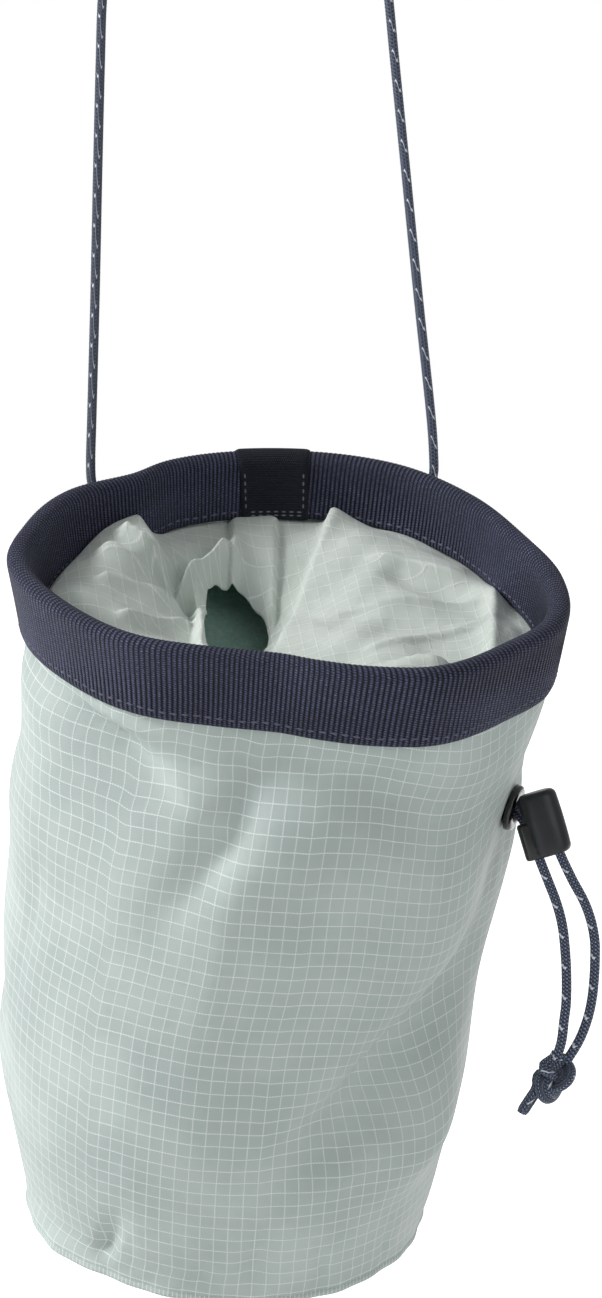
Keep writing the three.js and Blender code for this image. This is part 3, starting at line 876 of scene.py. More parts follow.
@dataclass(frozen=True)
class WebbingFinish:
    """Ribbed webbing."""

    name: str = "ribbed_webbing"
    # low is painted shade in the rib valleys, high a painted highlight on the rib crowns
    low: tuple[float, float, float] = (9, 12, 24)
    high: tuple[float, float, float] = (122, 128, 166)
    rib: float = 1.2 * MM
    thread: float = 0.62 * MM
    ribs_run: RibWay = RibWay.ACROSS
    relief: float = 0.34 * MM

    def build(self, dresser: Dresser) -> bpy.types.Material:
        """Builds the material.

        Args:
            dresser: What places shared effects.

        Returns:
            The material.
        """
        more = {
            "Sheen Weight": 0.03,
            "Sheen Roughness": 0.5,
        }
        material, w, shader = dresser.start(self.name, 0.62, 0.25, more)
        uv = dresser.cloth_map(w)
        if self.ribs_run is RibWay.ALONG:
            turned = w.node("ShaderNodeMapping")
            turned.inputs["Rotation"].default_value = (0.0, 0.0, math.pi / 2)
            w.feed(turned.inputs["Vector"], uv)
            uv = turned.outputs[0]
        ribs = dresser.place(w, dresser.effects.ribs, uv, Rib=self.rib, Thread=self.thread)
        wear = dresser.place(w, dresser.effects.wear, dresser.object_map(w), Scale=55.0)
        fuzz = w.noise(dresser.object_map(w), 2600.0, 2.0)
        # Rib crowns are painted lighter and valleys darker, as painted highlight and painted shade, with
        # some random tone and fuzz
        lit = w.math("MULTIPLY_ADD", wear.outputs["Tone"], 0.1, ribs.outputs["Height"])
        lit = w.math("MULTIPLY", lit, w.math("MULTIPLY_ADD", fuzz, 1.0, 0.2), clamp=True)
        lit = w.math("POWER", lit, 2.2)
        w.feed(shader.inputs["Base Color"], w.mix(lit, linear(*self.low), linear(*self.high)))
        rough = w.math("MULTIPLY_ADD", ribs.outputs["Crown"], -0.14, 0.74)
        w.feed(shader.inputs["Roughness"], rough)
        dresser.bumps(w, shader, ((ribs.outputs["Height"], self.relief), (fuzz, 0.04 * MM)))
        return material


@dataclass(frozen=True)
class FleeceFinish:
    """Brushed pile."""

    name: str = "brushed_fleece"
    deep: tuple[float, float, float] = (118, 168, 152)
    tips: tuple[float, float, float] = (186, 226, 212)

    def build(self, dresser: Dresser) -> bpy.types.Material:
        """Builds the material.

        Args:
            dresser: What places shared effects.

        Returns:
            The material.
        """
        more = {
            "Subsurface Weight": 0.9,
            "Subsurface Radius": (1.0, 1.0, 1.0),
            "Subsurface Scale": 4 * MM,
            "Sheen Weight": 0.6,
            "Sheen Roughness": 0.6,
        }
        material, w, shader = dresser.start(self.name, 0.95, 0.1, more)
        spot = dresser.object_map(w)
        pile = w.noise(spot, 900.0, 5.0)
        tufts = w.noise(spot, 210.0, 3.0)
        wear = dresser.place(w, dresser.effects.wear, spot, Scale=40.0)
        share = w.math("MULTIPLY_ADD", wear.outputs["Tone"], 0.3, w.math("MULTIPLY", pile, 0.8))
        w.feed(shader.inputs["Base Color"], w.mix(share, linear(*self.deep), linear(*self.tips)))
        dresser.bumps(w, shader, ((tufts, 1.6 * MM), (pile, 0.5 * MM)))
        return material


@dataclass(frozen=True)
class PlasticFinish:
    """Moulded plastic."""

    name: str = "moulded_plastic"
    colour: tuple[float, float, float] = (34, 38, 44)
    roughness: float = 0.36
    grain: float = 0.02 * MM
    coat: float = 0.0

    def build(self, dresser: Dresser) -> bpy.types.Material:
        """Builds the material.

        Args:
            dresser: What places shared effects.

        Returns:
            The material.
        """
        more = {
            "Coat Weight": self.coat,
            "Coat Roughness": 0.08,
        }
        material, w, shader = dresser.start(self.name, self.roughness, 0.5, more)
        spot = dresser.object_map(w)
        grain = w.noise(spot, 3800.0, 2.0)
        wear = dresser.place(w, dresser.effects.wear, spot, Scale=220.0)
        darker = linear(*(0.8 * part for part in self.colour))
        w.feed(
            shader.inputs["Base Color"],
            w.mix(wear.outputs["Tone"], linear(*self.colour), darker),
        )
        rough = w.math("MULTIPLY_ADD", wear.outputs["Tone"], 0.08, self.roughness)
        w.feed(shader.inputs["Roughness"], rough)
        dresser.bumps(w, shader, ((grain, self.grain),))
        return material


@dataclass(frozen=True)
class CordFinish:
    """Braided cord with a pale tracer thread."""

    name: str
    girth: float
    # low is painted shade between the braid's strands, high a painted highlight on their crowns
    low: tuple[float, float, float] = (24, 29, 46)
    high: tuple[float, float, float] = (164, 180, 212)
    tracer: tuple[float, float, float] = (236, 240, 246)
    pitch: float = 6.8 * MM
    strands: float = 8.0

    def build(self, dresser: Dresser) -> bpy.types.Material:
        """Builds the material.

        Args:
            dresser: What places shared effects.

        Returns:
            The material.
        """
        more = {
            "Sheen Weight": 0.15,
            "Sheen Roughness": 0.5,
        }
        material, w, shader = dresser.start(self.name, 0.6, 0.35, more)
        braid = dresser.place(
            w,
            dresser.effects.braid,
            dresser.cloth_map(w),
            Girth=self.girth,
            Pitch=self.pitch,
            Strands=self.strands,
        )
        fuzz = w.noise(dresser.object_map(w), 3000.0, 2.0)
        # Strand crowns are painted lighter and the gaps between them darker, as painted highlight and
        # painted shade; alternate strand cells are paler still
        lit = w.math("MULTIPLY", braid.outputs["Height"], 0.6)
        lit = w.math("MULTIPLY_ADD", braid.outputs["Pale"], 0.4, lit)
        lit = w.math("POWER", lit, 1.6)
        lit = w.math("MULTIPLY", lit, w.math("MULTIPLY_ADD", fuzz, 0.8, 0.6), clamp=True)
        colour = w.mix(lit, linear(*self.low), linear(*self.high))
        colour = w.mix(braid.outputs["Tracer"], colour, linear(*self.tracer))
        w.feed(shader.inputs["Base Color"], colour)
        rough = w.math("MULTIPLY_ADD", braid.outputs["Tracer"], -0.25, 0.62)
        w.feed(shader.inputs["Roughness"], rough)
        dresser.bumps(w, shader, ((braid.outputs["Height"], 0.16 * MM), (fuzz, 0.03 * MM)))
        return material


@dataclass(frozen=True)
class ThreadFinish:
    """Sewing thread, twisted."""

    name: str = "sewing_thread"
    colour: tuple[float, float, float] = (104, 106, 128)

    def build(self, dresser: Dresser) -> bpy.types.Material:
        """Builds the material.

        Args:
            dresser: What places shared effects.

        Returns:
            The material.
        """
        material, w, shader = dresser.start(self.name, 0.55, 0.4, {})
        spot = dresser.object_map(w)
        twist = w.noise(spot, 2200.0, 2.0)
        darker = linear(*(0.6 * part for part in self.colour))
        w.feed(shader.inputs["Base Color"], w.mix(twist, darker, linear(*self.colour)))
        dresser.bumps(w, shader, ((twist, 0.05 * MM),))
        return material


# Mesh helpers


def to_object(name: str, bm: bmesh.types.BMesh, material: bpy.types.Material) -> bpy.types.Object:
    """Turns a bmesh into a smooth, dressed object.

    Args:
        name: The object's name.
        bm: The bmesh, which is freed.
        material: Its finish.

    Returns:
        The object.
    """
    mesh = bpy.data.meshes.new(name)
    bm.to_mesh(mesh)
    bm.free()
    mesh.shade_smooth()
    mesh.materials.append(material)
    made = bpy.data.objects.new(name, mesh)
    bpy.context.scene.collection.objects.link(made)
    return made


def map_lengths(points: np.ndarray, centre: float) -> np.ndarray:
    """Measures a grid of points along both its ways.

    Args:
        points: Rows by columns by 3.
        centre: Where along a row the measure is 0, as a share.

    Returns:
        Rows by columns by 2, in the points' own unit.
    """
    across = np.linalg.norm(np.diff(points, axis=1), axis=2)
    across = np.concatenate([np.zeros((len(points), 1)), np.cumsum(across, axis=1)], axis=1)
    middle = round(centre * (points.shape[1] - 1))
    across -= across[:, middle : middle + 1]
    up = np.linalg.norm(np.diff(points, axis=0), axis=2)
    up = np.concatenate([np.zeros((1, points.shape[1])), np.cumsum(up, axis=0)], axis=0)
    return np.stack([across, up], axis=-1)


def cloth_grid(
    columns: int, rows: int, place: Place, closed: bool = True, centre: float = 0.5
) -> bmesh.types.BMesh:
    """Lays a grid of cloth, mapped by its own lengths.

    Args:
        columns: Faces round or along it.
        rows: Faces up it.
        place: Gives the scene's points for shares across and up.
        closed: Whether its first and last columns are sewn together.
        centre: Where across the map's 0 lies, as a share.

    Returns:
        The bmesh, with a map in metres.
    """
    bm = bmesh.new()
    layer = bm.loops.layers.uv.new(CLOTH_MAP)
    bmesh.ops.create_grid(bm, x_segments=columns, y_segments=rows, size=0.5)
    corner = np.array([vertex.co[:2] for vertex in bm.verts]) + 0.5
    column = np.rint(corner[:, 0] * columns).astype(int)
    row = np.rint(corner[:, 1] * rows).astype(int)
    table = np.zeros((rows + 1, columns + 1, 3))
    points = place(column / columns, row / rows)
    table[row, column] = points
    lengths = map_lengths(table, centre)[row, column]
    for vertex, point in zip(bm.verts, points, strict=True):
        vertex.co = point
    bm.verts.index_update()
    for face in bm.faces:
        for loop in face.loops:
            loop[layer].uv = lengths[loop.vert.index]
    if closed:
        bmesh.ops.remove_doubles(bm, verts=bm.verts, dist=1e-7)
    return bm


def map_flat(
    bm: bmesh.types.BMesh, form: BagForm, slant: tuple[float, float] = (0.0, 0.0)
) -> None:
    """Maps cloth as it lies over the mouth, in metres.

    Args:
        bm: The cloth, in the scene's frame.
        form: The bag.
        slant: How far the map runs on down a slope, each way.
    """
    layer = bm.loops.layers.uv[CLOTH_MAP]
    into = Matrix(form.pose()).transposed()
    for face in bm.faces:
        for loop in face.loops:
            flat = into @ loop.vert.co
            loop[layer].uv = (flat.x + slant[0] * flat.z, flat.y + slant[1] * flat.z)


def smooth_route(points: Sequence[tuple[float, float, float]], step: float) -> np.ndarray:
    """Draws a smooth line through a cord's chosen points.

    Args:
        points: The chosen points.
        step: The spacing wanted, in the points' unit.

    Returns:
        Evenly spaced points along it.
    """
    chosen = np.array(points, float)
    before = np.concatenate([2 * chosen[:1] - chosen[1:2], chosen, 2 * chosen[-1:] - chosen[-2:-1]])
    share = np.linspace(0.0, 1.0, 24, endpoint=False)[:, None]
    spans = []
    for i in range(len(chosen) - 1):
        a, b, c, d = before[i : i + 4]
        curve = 2 * b + (c - a) * share + (2 * a - 5 * b + 4 * c - d) * share**2
        spans.append(0.5 * (curve + (3 * b - a - 3 * c + d) * share**3))
    dense = np.concatenate([*spans, chosen[-1:]])
    along = np.concatenate([[0.0], np.cumsum(np.linalg.norm(np.diff(dense, axis=0), axis=1))])
    places = np.linspace(0.0, along[-1], max(2, round(along[-1] / step)) + 1)
    return np.stack([np.interp(places, along, dense[:, k]) for k in range(3)], axis=1)


def carried_frames(route: np.ndarray) -> tuple[np.ndarray, np.ndarray]:
    """Carries a side direction along a route without twist.

    Args:
        route: Points along it.

    Returns:
        Two directions across the route at each point.
    """
    ways = np.gradient(route, axis=0)
    ways /= np.linalg.norm(ways, axis=1, keepdims=True)
    side = np.cross(ways[0], (0.0, 1.0, 0.12))
    sides = []
    for way in ways:
        side = side - way * side.dot(way)
        side /= np.linalg.norm(side)
        sides.append(side)
    sides = np.array(sides)
    return sides, np.cross(ways, sides)


@dataclass(frozen=True)
class Braid:
    """A cord's size and how its cover is laid, in millimetres."""

    radius: float = 1.15
    relief: float = 0.07
    pitch: float = 6.8
    strands: int = 8
    around: int = 24
    step: float = 0.34

    def girth(self) -> float:
        """Returns the length round the cord."""
        return 2 * math.pi * self.radius

    def tube(self, route: np.ndarray, taper: float = 0.0) -> bmesh.types.BMesh:
        """Sweeps the braided cover along a route.

        Args:
            route: Evenly spaced points, in millimetres.
            taper: How much thinner each end is, in millimetres.

        Returns:
            The closed tube, mapped in metres.
        """
        sides, others = carried_frames(route)
        steps = len(route) - 1
        ends = np.linspace(0.0, 1.0, steps + 1) * steps * self.step

        def place(across: np.ndarray, along: np.ndarray) -> np.ndarray:
            """Places the cover's points.

            Args:
                across: Shares round the cord.
                along: Shares along it.

            Returns:
                The points.
            """
            index = np.rint(along * steps).astype(int)
            travelled = index * self.step / self.pitch
            right = np.sin(math.pi * self.strands * (travelled + across))
            left = np.sin(math.pi * self.strands * (travelled - across))
            near = np.minimum(ends[index], ends[-1] - ends[index])
            thin = taper * (1 - smoothstep(near, 0.0, 1.0))
            reach = self.radius - thin + self.relief * (np.abs(right * left) - 0.5)
            angle = 2 * math.pi * across
            offset = sides[index] * (reach * np.cos(angle))[:, None]
            offset += others[index] * (reach * np.sin(angle))[:, None]
            return (route[index] + offset) * MM

        bm = cloth_grid(self.around, steps, place, centre=0.0)
        bmesh.ops.holes_fill(bm, edges=[e for e in bm.edges if e.is_boundary], sides=0)
        bmesh.ops.recalc_face_normals(bm, faces=bm.faces)
        return bm

    def bundle(self, lines: Sequence[np.ndarray], taper: float = 0.0) -> bmesh.types.BMesh:
        """Sweeps several strands into one bmesh.

        Args:
            lines: Each strand's points, in millimetres.
            taper: How much thinner each end is, in millimetres.

        Returns:
            The strands, mapped in metres.
        """
        bm = bmesh.new()
        bm.loops.layers.uv.new(CLOTH_MAP)
        mesh = bpy.data.meshes.new("strand")
        for line in lines:
            tube = self.tube(line, taper)
            tube.to_mesh(mesh)
            tube.free()
            bm.from_mesh(mesh)
        bpy.data.meshes.remove(mesh)
        return bm


@dataclass(frozen=True)
class Stitching:
    """A row of sewn stitches, in millimetres."""

    pitch: float = 2.6
    length: float = 1.9
    radius: float = 0.24
    sink: float = 0.05

    def add(self, bm: bmesh.types.BMesh, line: np.ndarray, outward: np.ndarray) -> None:
        """Sews a row into a bmesh.

        Args:
            bm: The bmesh that takes the stitches.
            line: Points of the seam in metres, in order.
            outward: The cloth's direction out at each point.
        """
        along = np.concatenate([[0.0], np.cumsum(np.linalg.norm(np.diff(line, axis=0), axis=1))])
        count = int(along[-1] / (self.pitch * MM))
        for place in (np.arange(count) + 0.5) * self.pitch * MM:
            ends = [place - self.length * MM / 2, place + self.length * MM / 2]
            start, end = (
                Vector([np.interp(at, along, line[:, k]) for k in range(3)]) for at in ends
            )
            out = Vector([np.interp(place, along, outward[:, k]) for k in range(3)]).normalized()
            way = (end - start).normalized()
            across = out.cross(way).normalized()
            turned = Matrix((way, across, way.cross(across))).transposed().to_4x4()
            size = Matrix.Diagonal((self.length / 2, self.radius * 1.25, self.radius, 1.0))
            centre = (start + end) / 2 - out * self.sink * MM
            seated = Matrix.Translation(centre) @ turned @ size @ Matrix.Scale(MM, 4)
            bmesh.ops.create_uvsphere(bm, u_segments=6, v_segments=5, radius=1.0, matrix=seated)


# Sub-assemblies


@dataclass
class Kit:
    """What every sub-assembly is built with."""

    form: BagForm
    materials: dict[str, bpy.types.Material]
    made: list[bpy.types.Object] = field(default_factory=list)

    def make(
        self, name: str, bm: bmesh.types.BMesh, finish: str, slot: Slot, *nodes: str,
        wall: float = 0.0, offset: float = -1.0,
    ) -> bpy.types.Object:
        """Makes a piece that rides on the bag, and hides the CAD parts that it replaces.

        Args:
            name: The piece's name.
            bm: The bmesh, which is freed.
            finish: Its finish, by name.
            slot: Not used.
            *nodes: The CAD nodes that it replaces.
            wall: The cloth's thickness in millimetres, or 0 for none.
            offset: Which side of the cloth the thickness goes to.

        Returns:
            The piece.
        """
        piece = to_object(name, bm, self.materials[finish])
        if wall:
            modifier = piece.modifiers.new("wall", "SOLIDIFY")
            modifier.thickness = wall * MM
            modifier.offset = offset
        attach(piece, "root")
        if nodes:
            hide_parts(*nodes)
        self.made.append(piece)
        LOG.info("%s: %d faces", piece.name, len(piece.data.polygons))
        return piece


@dataclass
class WaistCord:
    """The cord that the bag hangs from, round from the middle of its tunnel."""

    kit: Kit
    braid: Braid = Braid()
    route: tuple[tuple[float, float, float], ...] = (
        (0.8, 14.7, -153.8), (8.4, 16.2, -153.8), (16.9, 17.2, -154.1), (25.6, 17, -155),
        (34.1, 15.3, -156.5), (38.2, 13.8, -157.2), (41.8, 12.2, -156.9), (44.3, 10.9, -154.8),
        (45.4, 10, -151.3), (45.5, 9.2, -147), (44.7, 8, -136), (41.6, 5.4, -108),
        (38.5, 2.9, -78), (35.8, 0.9, -52), (34.3, 0, -37), (32.9, 0, -25.6),
        (28.1, 0, -14.2), (20.4, 0, -4.4), (10.6, 0, 0.1), (0, 0, 1.45), (-10.6, 0, 0.1),
        (-20.4, 0, -4.4), (-28.1, 0, -14.2), (-32.9, 0, -25.6), (-34.3, 0, -37),
        (-34.8, -0.9, -52), (-35.4, -2.9, -78), (-36, -5.4, -108), (-36.7, -7.8, -136),
        (-37, -8.6, -148), (-36.6, -8.7, -153.2), (-35, -8.2, -156.9), (-32.6, -6.9, -158.9),
        (-29.9, -4.8, -159.2), (-24.4, 0.9, -157.5), (-18.5, 6.1, -155.8),
        (-11.4, 10.2, -154.7), (-3.8, 13.3, -154), (-0.4, 14.3, -153.8),
    )  # fmt: skip
    length: float = 0.441

    def build(self) -> None:
        line = smooth_route(self.route, self.braid.step)
        bm = self.braid.tube(line)
        cord = self.kit.make("waist_cord_braid", bm, "cord", Slot.CORD, "waist_cord")


@dataclass
class Drawcord:
    """The drawcord outside the bag: two tails and the knot."""

    kit: Kit
    braid: Braid = Braid()
    left: tuple[tuple[float, float, float], ...] = (
        (67.5, -45.7, -235.7), (68.6, -45.7, -239.2), (70.6, -45.7, -244.3),
        (72.5, -45.6, -249.2), (73.8, -45.6, -253.8), (74.5, -45.6, -258.5), (75, -45.5, -265.5),
        (75, -45.3, -272.6), (74.5, -45.2, -277.2), (73.9, -45.1, -282.2), (72.5, -44.8, -286.8),
    )  # fmt: skip
    right: tuple[tuple[float, float, float], ...] = (
        (72.2, -45.7, -234.3), (73.3, -45.7, -237.8), (76.2, -45.7, -244), (79, -45.6, -249.2),
        (80.7, -45.2, -253.8), (81.6, -44.9, -258.5), (81.7, -44.6, -263.2),
        (81.5, -44.4, -267.9), (81, -44.2, -272.6), (79.9, -44.1, -277.4), (78, -44, -282.2),
        (74.8, -44.2, -287.4),
    )  # fmt: skip
    knot_centre: tuple[float, float, float] = (71.6, -44.4, -290.8)
    knot_head: tuple[tuple[float, float, float], ...] = ((1.9, 0.0, 6.0), (1.2, 0.0, 4.2))
    knot_stub: tuple[tuple[float, float, float], ...] = (
        (-3.4, 0.2, -2.6), (-4.6, 0.2, -4.6), (-5.8, 0.0, -6.4), (-6.9, 0.0, -8.2),
    )  # fmt: skip
    knot_size: float = 1.4
    knot_depth: float = 2.2
    knot_start: float = 4.69
    knot_end: float = -0.5
    strand_apart: float = 0.92
    strand_taper: float = 0.25
    tail_length: float = 0.053

    def build(self) -> None:
        knot = self.build_knot()
        for name, points, node in (
            ("drawcord_left", self.left, "drawcord_tail_left"),
            ("drawcord_right", self.right, "drawcord_tail_right"),
        ):
            line = smooth_route(points, self.braid.step)
            bm = self.braid.tube(line)
            tail = self.kit.make(name, bm, "cord", Slot.CORD, node)

    def build_knot(self) -> bpy.types.Object:
        """Ties the two strands and returns the knot."""
        turn = np.linspace(self.knot_start, self.knot_end, 40)
        loops = np.stack(
            [
                self.knot_size * (np.sin(turn) + 2 * np.sin(2 * turn)),
                -self.knot_depth * np.sin(3 * turn),
                self.knot_size * (np.cos(turn) - 2 * np.cos(2 * turn)),
            ],
            axis=1,
        )
        course = np.concatenate([self.knot_head, loops, self.knot_stub])
        line = smooth_route(course, self.braid.step) + np.array(self.knot_centre)
        sides, _ = carried_frames(line)
        strands = [line + sides * side for side in (-self.strand_apart, self.strand_apart)]
        bm = self.braid.bundle(strands, self.strand_taper)
        return self.kit.make("drawcord_overhand_knot", bm, "cord", Slot.CORD, "drawcord_knot")


@dataclass
class OuterShell:
    """The ripstop wall with its seam at the back, the base and its piping."""

    kit: Kit
    columns: int = 288
    rows: int = 132
    eyelet_cut: float = 3.6
    seam_turn: float = 200.0
    seam_half: float = 3.2
    seam_lift: float = 0.5
    seam_foot: float = 0.4
    seam_overlap: float = 3.0
    wall_overlap: float = 6.0
    wall_cloth: float = 0.5
    seam_cloth: float = 0.4
    base_cloth: float = 0.6
    stitch_offset: float = 1.7
    stitch_points: int = 80
    base_columns: int = 144
    base_rows: int = 26
    base_sag: float = 2.4
    base_inward: float = 0.985
    base_fold: float = 0.3
    base_folds: int = 9
    piping_reach: float = 0.8
    flat: tuple[float, float] = (0.372, 0.161)
    base_flat: tuple[float, float] = (0.098, 0.098)
    base_area: float = 0.0075

    def build(self) -> None:
        """Builds the wall, the base and the piping."""
        self.build_wall()
        self.build_seam()
        self.build_piping()
        self.build_base()

    def build_wall(self) -> None:
        """Builds the wall from the base seam up into the webbing."""
        form = self.kit.form
        top = -form.webbing_height + self.wall_overlap

        def place(across: np.ndarray, up: np.ndarray) -> np.ndarray:
            """Places the wall's points.

            Args:
                across: Shares round it.
                up: Shares up it.

            Returns:
                The points.
            """
            low = self.seam_level()
            level = low + up * (top - low)
            out = self.pucker(turns_round(across)) * smoothstep(-level, form.height - 4, form.height)
            return form.to_scene(form.settle(turns_round(across), out, level, fine=True))

        bm = cloth_grid(self.columns, self.rows, place)
        hole = form.eyelet_seat().translation
        cut = [f for f in bm.faces if (f.calc_center_median() - hole).length < self.eyelet_cut * MM]
        bmesh.ops.delete(bm, geom=cut, context="FACES")
        wall = self.kit.make("shell_wall", bm, "ripstop", Slot.RIPSTOP, "outer_shell", wall=self.wall_cloth)

    def build_seam(self) -> None:
        """Builds the felled seam down the back of the wall."""
        form = self.kit.form
        low = -form.height + self.seam_foot
        high = -form.webbing_height + self.seam_overlap

        def place(across: np.ndarray, up: np.ndarray) -> np.ndarray:
            """Places the seam's points.

            Args:
                across: Shares across it.
                up: Shares up it.

            Returns:
                The points.
            """
            level = low + up * (high - low)
            offset = (across - 0.5) * 2 * self.seam_half
            turn = self.seam_turn + np.degrees(offset / form.mouth_radius)
            edge = smoothstep(np.abs(across - 0.5), 0.5, 0.38)
            return form.to_scene(form.settle(turn, 0.05 + self.seam_lift * edge, level, fine=True))

        bm = cloth_grid(10, self.rows, place, closed=False)
        self.kit.make("back_seam", bm, "ripstop", Slot.RIPSTOP, wall=self.seam_cloth)
        rows = bmesh.new()
        levels = np.linspace(low, high, self.stitch_points)
        for offset in (-self.stitch_offset, self.stitch_offset):
            turn = self.seam_turn + math.degrees(offset / form.mouth_radius)
            line = form.to_scene(form.settle(turn, self.seam_lift + 0.1, levels, fine=True))
            outer = form.to_scene(form.settle(turn, self.seam_lift + 1.1, levels, fine=True))
            Stitching(radius=0.16).add(rows, line, outer - line)
        self.kit.make("back_seam_stitches", rows, "pale_thread", Slot.RIPSTOP)

    def seam_level(self) -> float:
        """Returns the level of the base seam's middle."""
        form = self.kit.form
        return -form.height - form.gap - form.piping_radius

    def pucker(self, turn: np.ndarray) -> np.ndarray:
        """Works out how the base seam wavers.

        Args:
            turn: Degrees round from the front centre.

        Returns:
            How far out it is at each turn, in millimetres.
        """
        angle = np.radians(turn)
        flare = 2.2 * np.exp(-(((turn + 62) / 14) ** 2))
        return flare + 0.2 * np.sin(13 * angle + 1.0) + 0.16 * np.sin(29 * angle)

    def build_piping(self) -> None:
        """Builds the covered cord round the base seam."""
        form = self.kit.form
        level = self.seam_level()

        def place(across: np.ndarray, around: np.ndarray) -> np.ndarray:
            """Places the piping's points.

            Args:
                across: Shares round the bag.
                around: Shares round the piping itself.

            Returns:
                The points.
            """
            turn, angle = turns_round(across), 2 * math.pi * around
            reach = self.piping_reach
            out = -form.shell_wall / 2 + reach * np.sin(angle) + self.pucker(turn)
            lift = -form.piping_radius * np.cos(angle)
            points = form.settle(turn, out, np.full_like(out, level))
            points[..., 2] += lift
            return form.to_scene(points)

        bm = cloth_grid(self.columns, 12, place)
        bmesh.ops.recalc_face_normals(bm, faces=bm.faces)
        self.kit.make("seam_piping", bm, "binding", Slot.RIPSTOP, "base_piping")

    def build_base(self) -> None:
        """Builds the round bottom, sagging a little under its own weight."""
        form = self.kit.form
        level = self.seam_level()
        edge = float(form.wall_radius(np.array([level]))[0]) - form.shell_wall / 2

        def place(across: np.ndarray, inward: np.ndarray) -> np.ndarray:
            """Places the base's points.

            Args:
                across: Shares round it.
                inward: Shares in from its edge.

            Returns:
                The points.
            """
            turn = turns_round(across)
            reach = edge * (1.0 - inward * self.base_inward)
            points = form.settle(turn, reach - edge - form.shell_wall / 2, np.full_like(reach, level))
            centre = 1.0 - (reach / edge) ** 2
            wave = np.sin(np.radians(turn) * self.base_folds + 4 * inward)
            folds = self.base_fold * wave * inward * (1 - inward) * 4
            points[..., 2] += -self.base_sag * centre + folds
            return form.to_scene(points)

        bm = cloth_grid(self.base_columns, self.base_rows, place)
        map_flat(bm, form)
        bmesh.ops.holes_fill(bm, edges=self.inner_loop(bm), sides=0)
        bmesh.ops.reverse_faces(bm, faces=bm.faces)
        base = self.kit.make("base_cloth", bm, "ripstop", Slot.RIPSTOP, "base_panel", wall=self.base_cloth)

    def inner_loop(self, bm: bmesh.types.BMesh) -> list[bmesh.types.BMEdge]:
        """Finds the small hole at the base's middle.

        Args:
            bm: The base.

        Returns:
            The hole's edges.
        """
        edges = [edge for edge in bm.edges if edge.is_boundary]
        longest = max(edge.calc_length() for edge in edges)
        return [edge for edge in edges if edge.calc_length() < longest / 4]


@dataclass
class FleeceLining:
    """The pile cup inside."""

    kit: Kit
    columns: int = 150
    rows: int = 90
    ease: float = 4.0
    flat: tuple[float, float] = (0.3, 0.19)
    flat_area: float = 0.0535
    slump: float = 33.0
    slump_turn: float = 186.0
    slump_round: float = 40.0
    slump_level: float = -43.0
    slump_deep: float = 8.5
    top_drop: float = 4.0
    floor_share: float = 0.25
    slack: float = 0.9
    slack_folds: int = 7
    slack_slant: float = 14.0

    def build(self) -> None:
        """Builds the cup from its middle up to the webbing."""
        form = self.kit.form
        floor = -form.height + form.gap + form.base_wall + form.fleece_wall
        top = -form.webbing_height - self.top_drop
        reach = form.base_radius - form.shell_wall - form.gap - self.ease - form.fleece_wall

        def place(across: np.ndarray, up: np.ndarray) -> np.ndarray:
            """Places the cup's points.

            Args:
                across: Shares round it.
                up: Shares out over its floor and up its wall.

            Returns:
                The points.
            """
            turn = turns_round(across)
            wall = np.clip((up - self.floor_share) / (1 - self.floor_share), 0.0, 1.0)
            level = floor + wall * (top - floor)
            share = np.clip(up / self.floor_share, 0.02, 1.0)
            ease = self.ease * (1 - smoothstep(wall, 0.75, 1.0))
            inside = -form.shell_wall - form.gap - ease - form.fleece_wall
            wave = np.sin(np.radians(turn) * self.slack_folds + level / self.slack_slant)
            slack = self.slack * wave * wall * (1 - wall) * 4
            out = np.where(share < 1.0, (share - 1.0) * reach + inside, inside + slack)
            apart = ((turn - self.slump_turn + 180.0) % 360.0 - 180.0) / self.slump_round
            deep = (level - self.slump_level) / self.slump_deep
            out = out - self.slump * np.exp(-(apart**2) - deep**2)
            return form.to_scene(form.settle(turn, out, level, fine=True))

        bm = cloth_grid(self.columns, self.rows, place)
        small = [e for e in bm.edges if e.is_boundary and e.calc_length() < 0.3 * MM]
        bmesh.ops.holes_fill(bm, edges=small, sides=0)
        bmesh.ops.reverse_faces(bm, faces=bm.faces)
        cup = self.kit.make(
            "fleece_cup", bm, "fleece", Slot.FLEECE, "fleece_lining", wall=self.kit.form.fleece_wall
        )


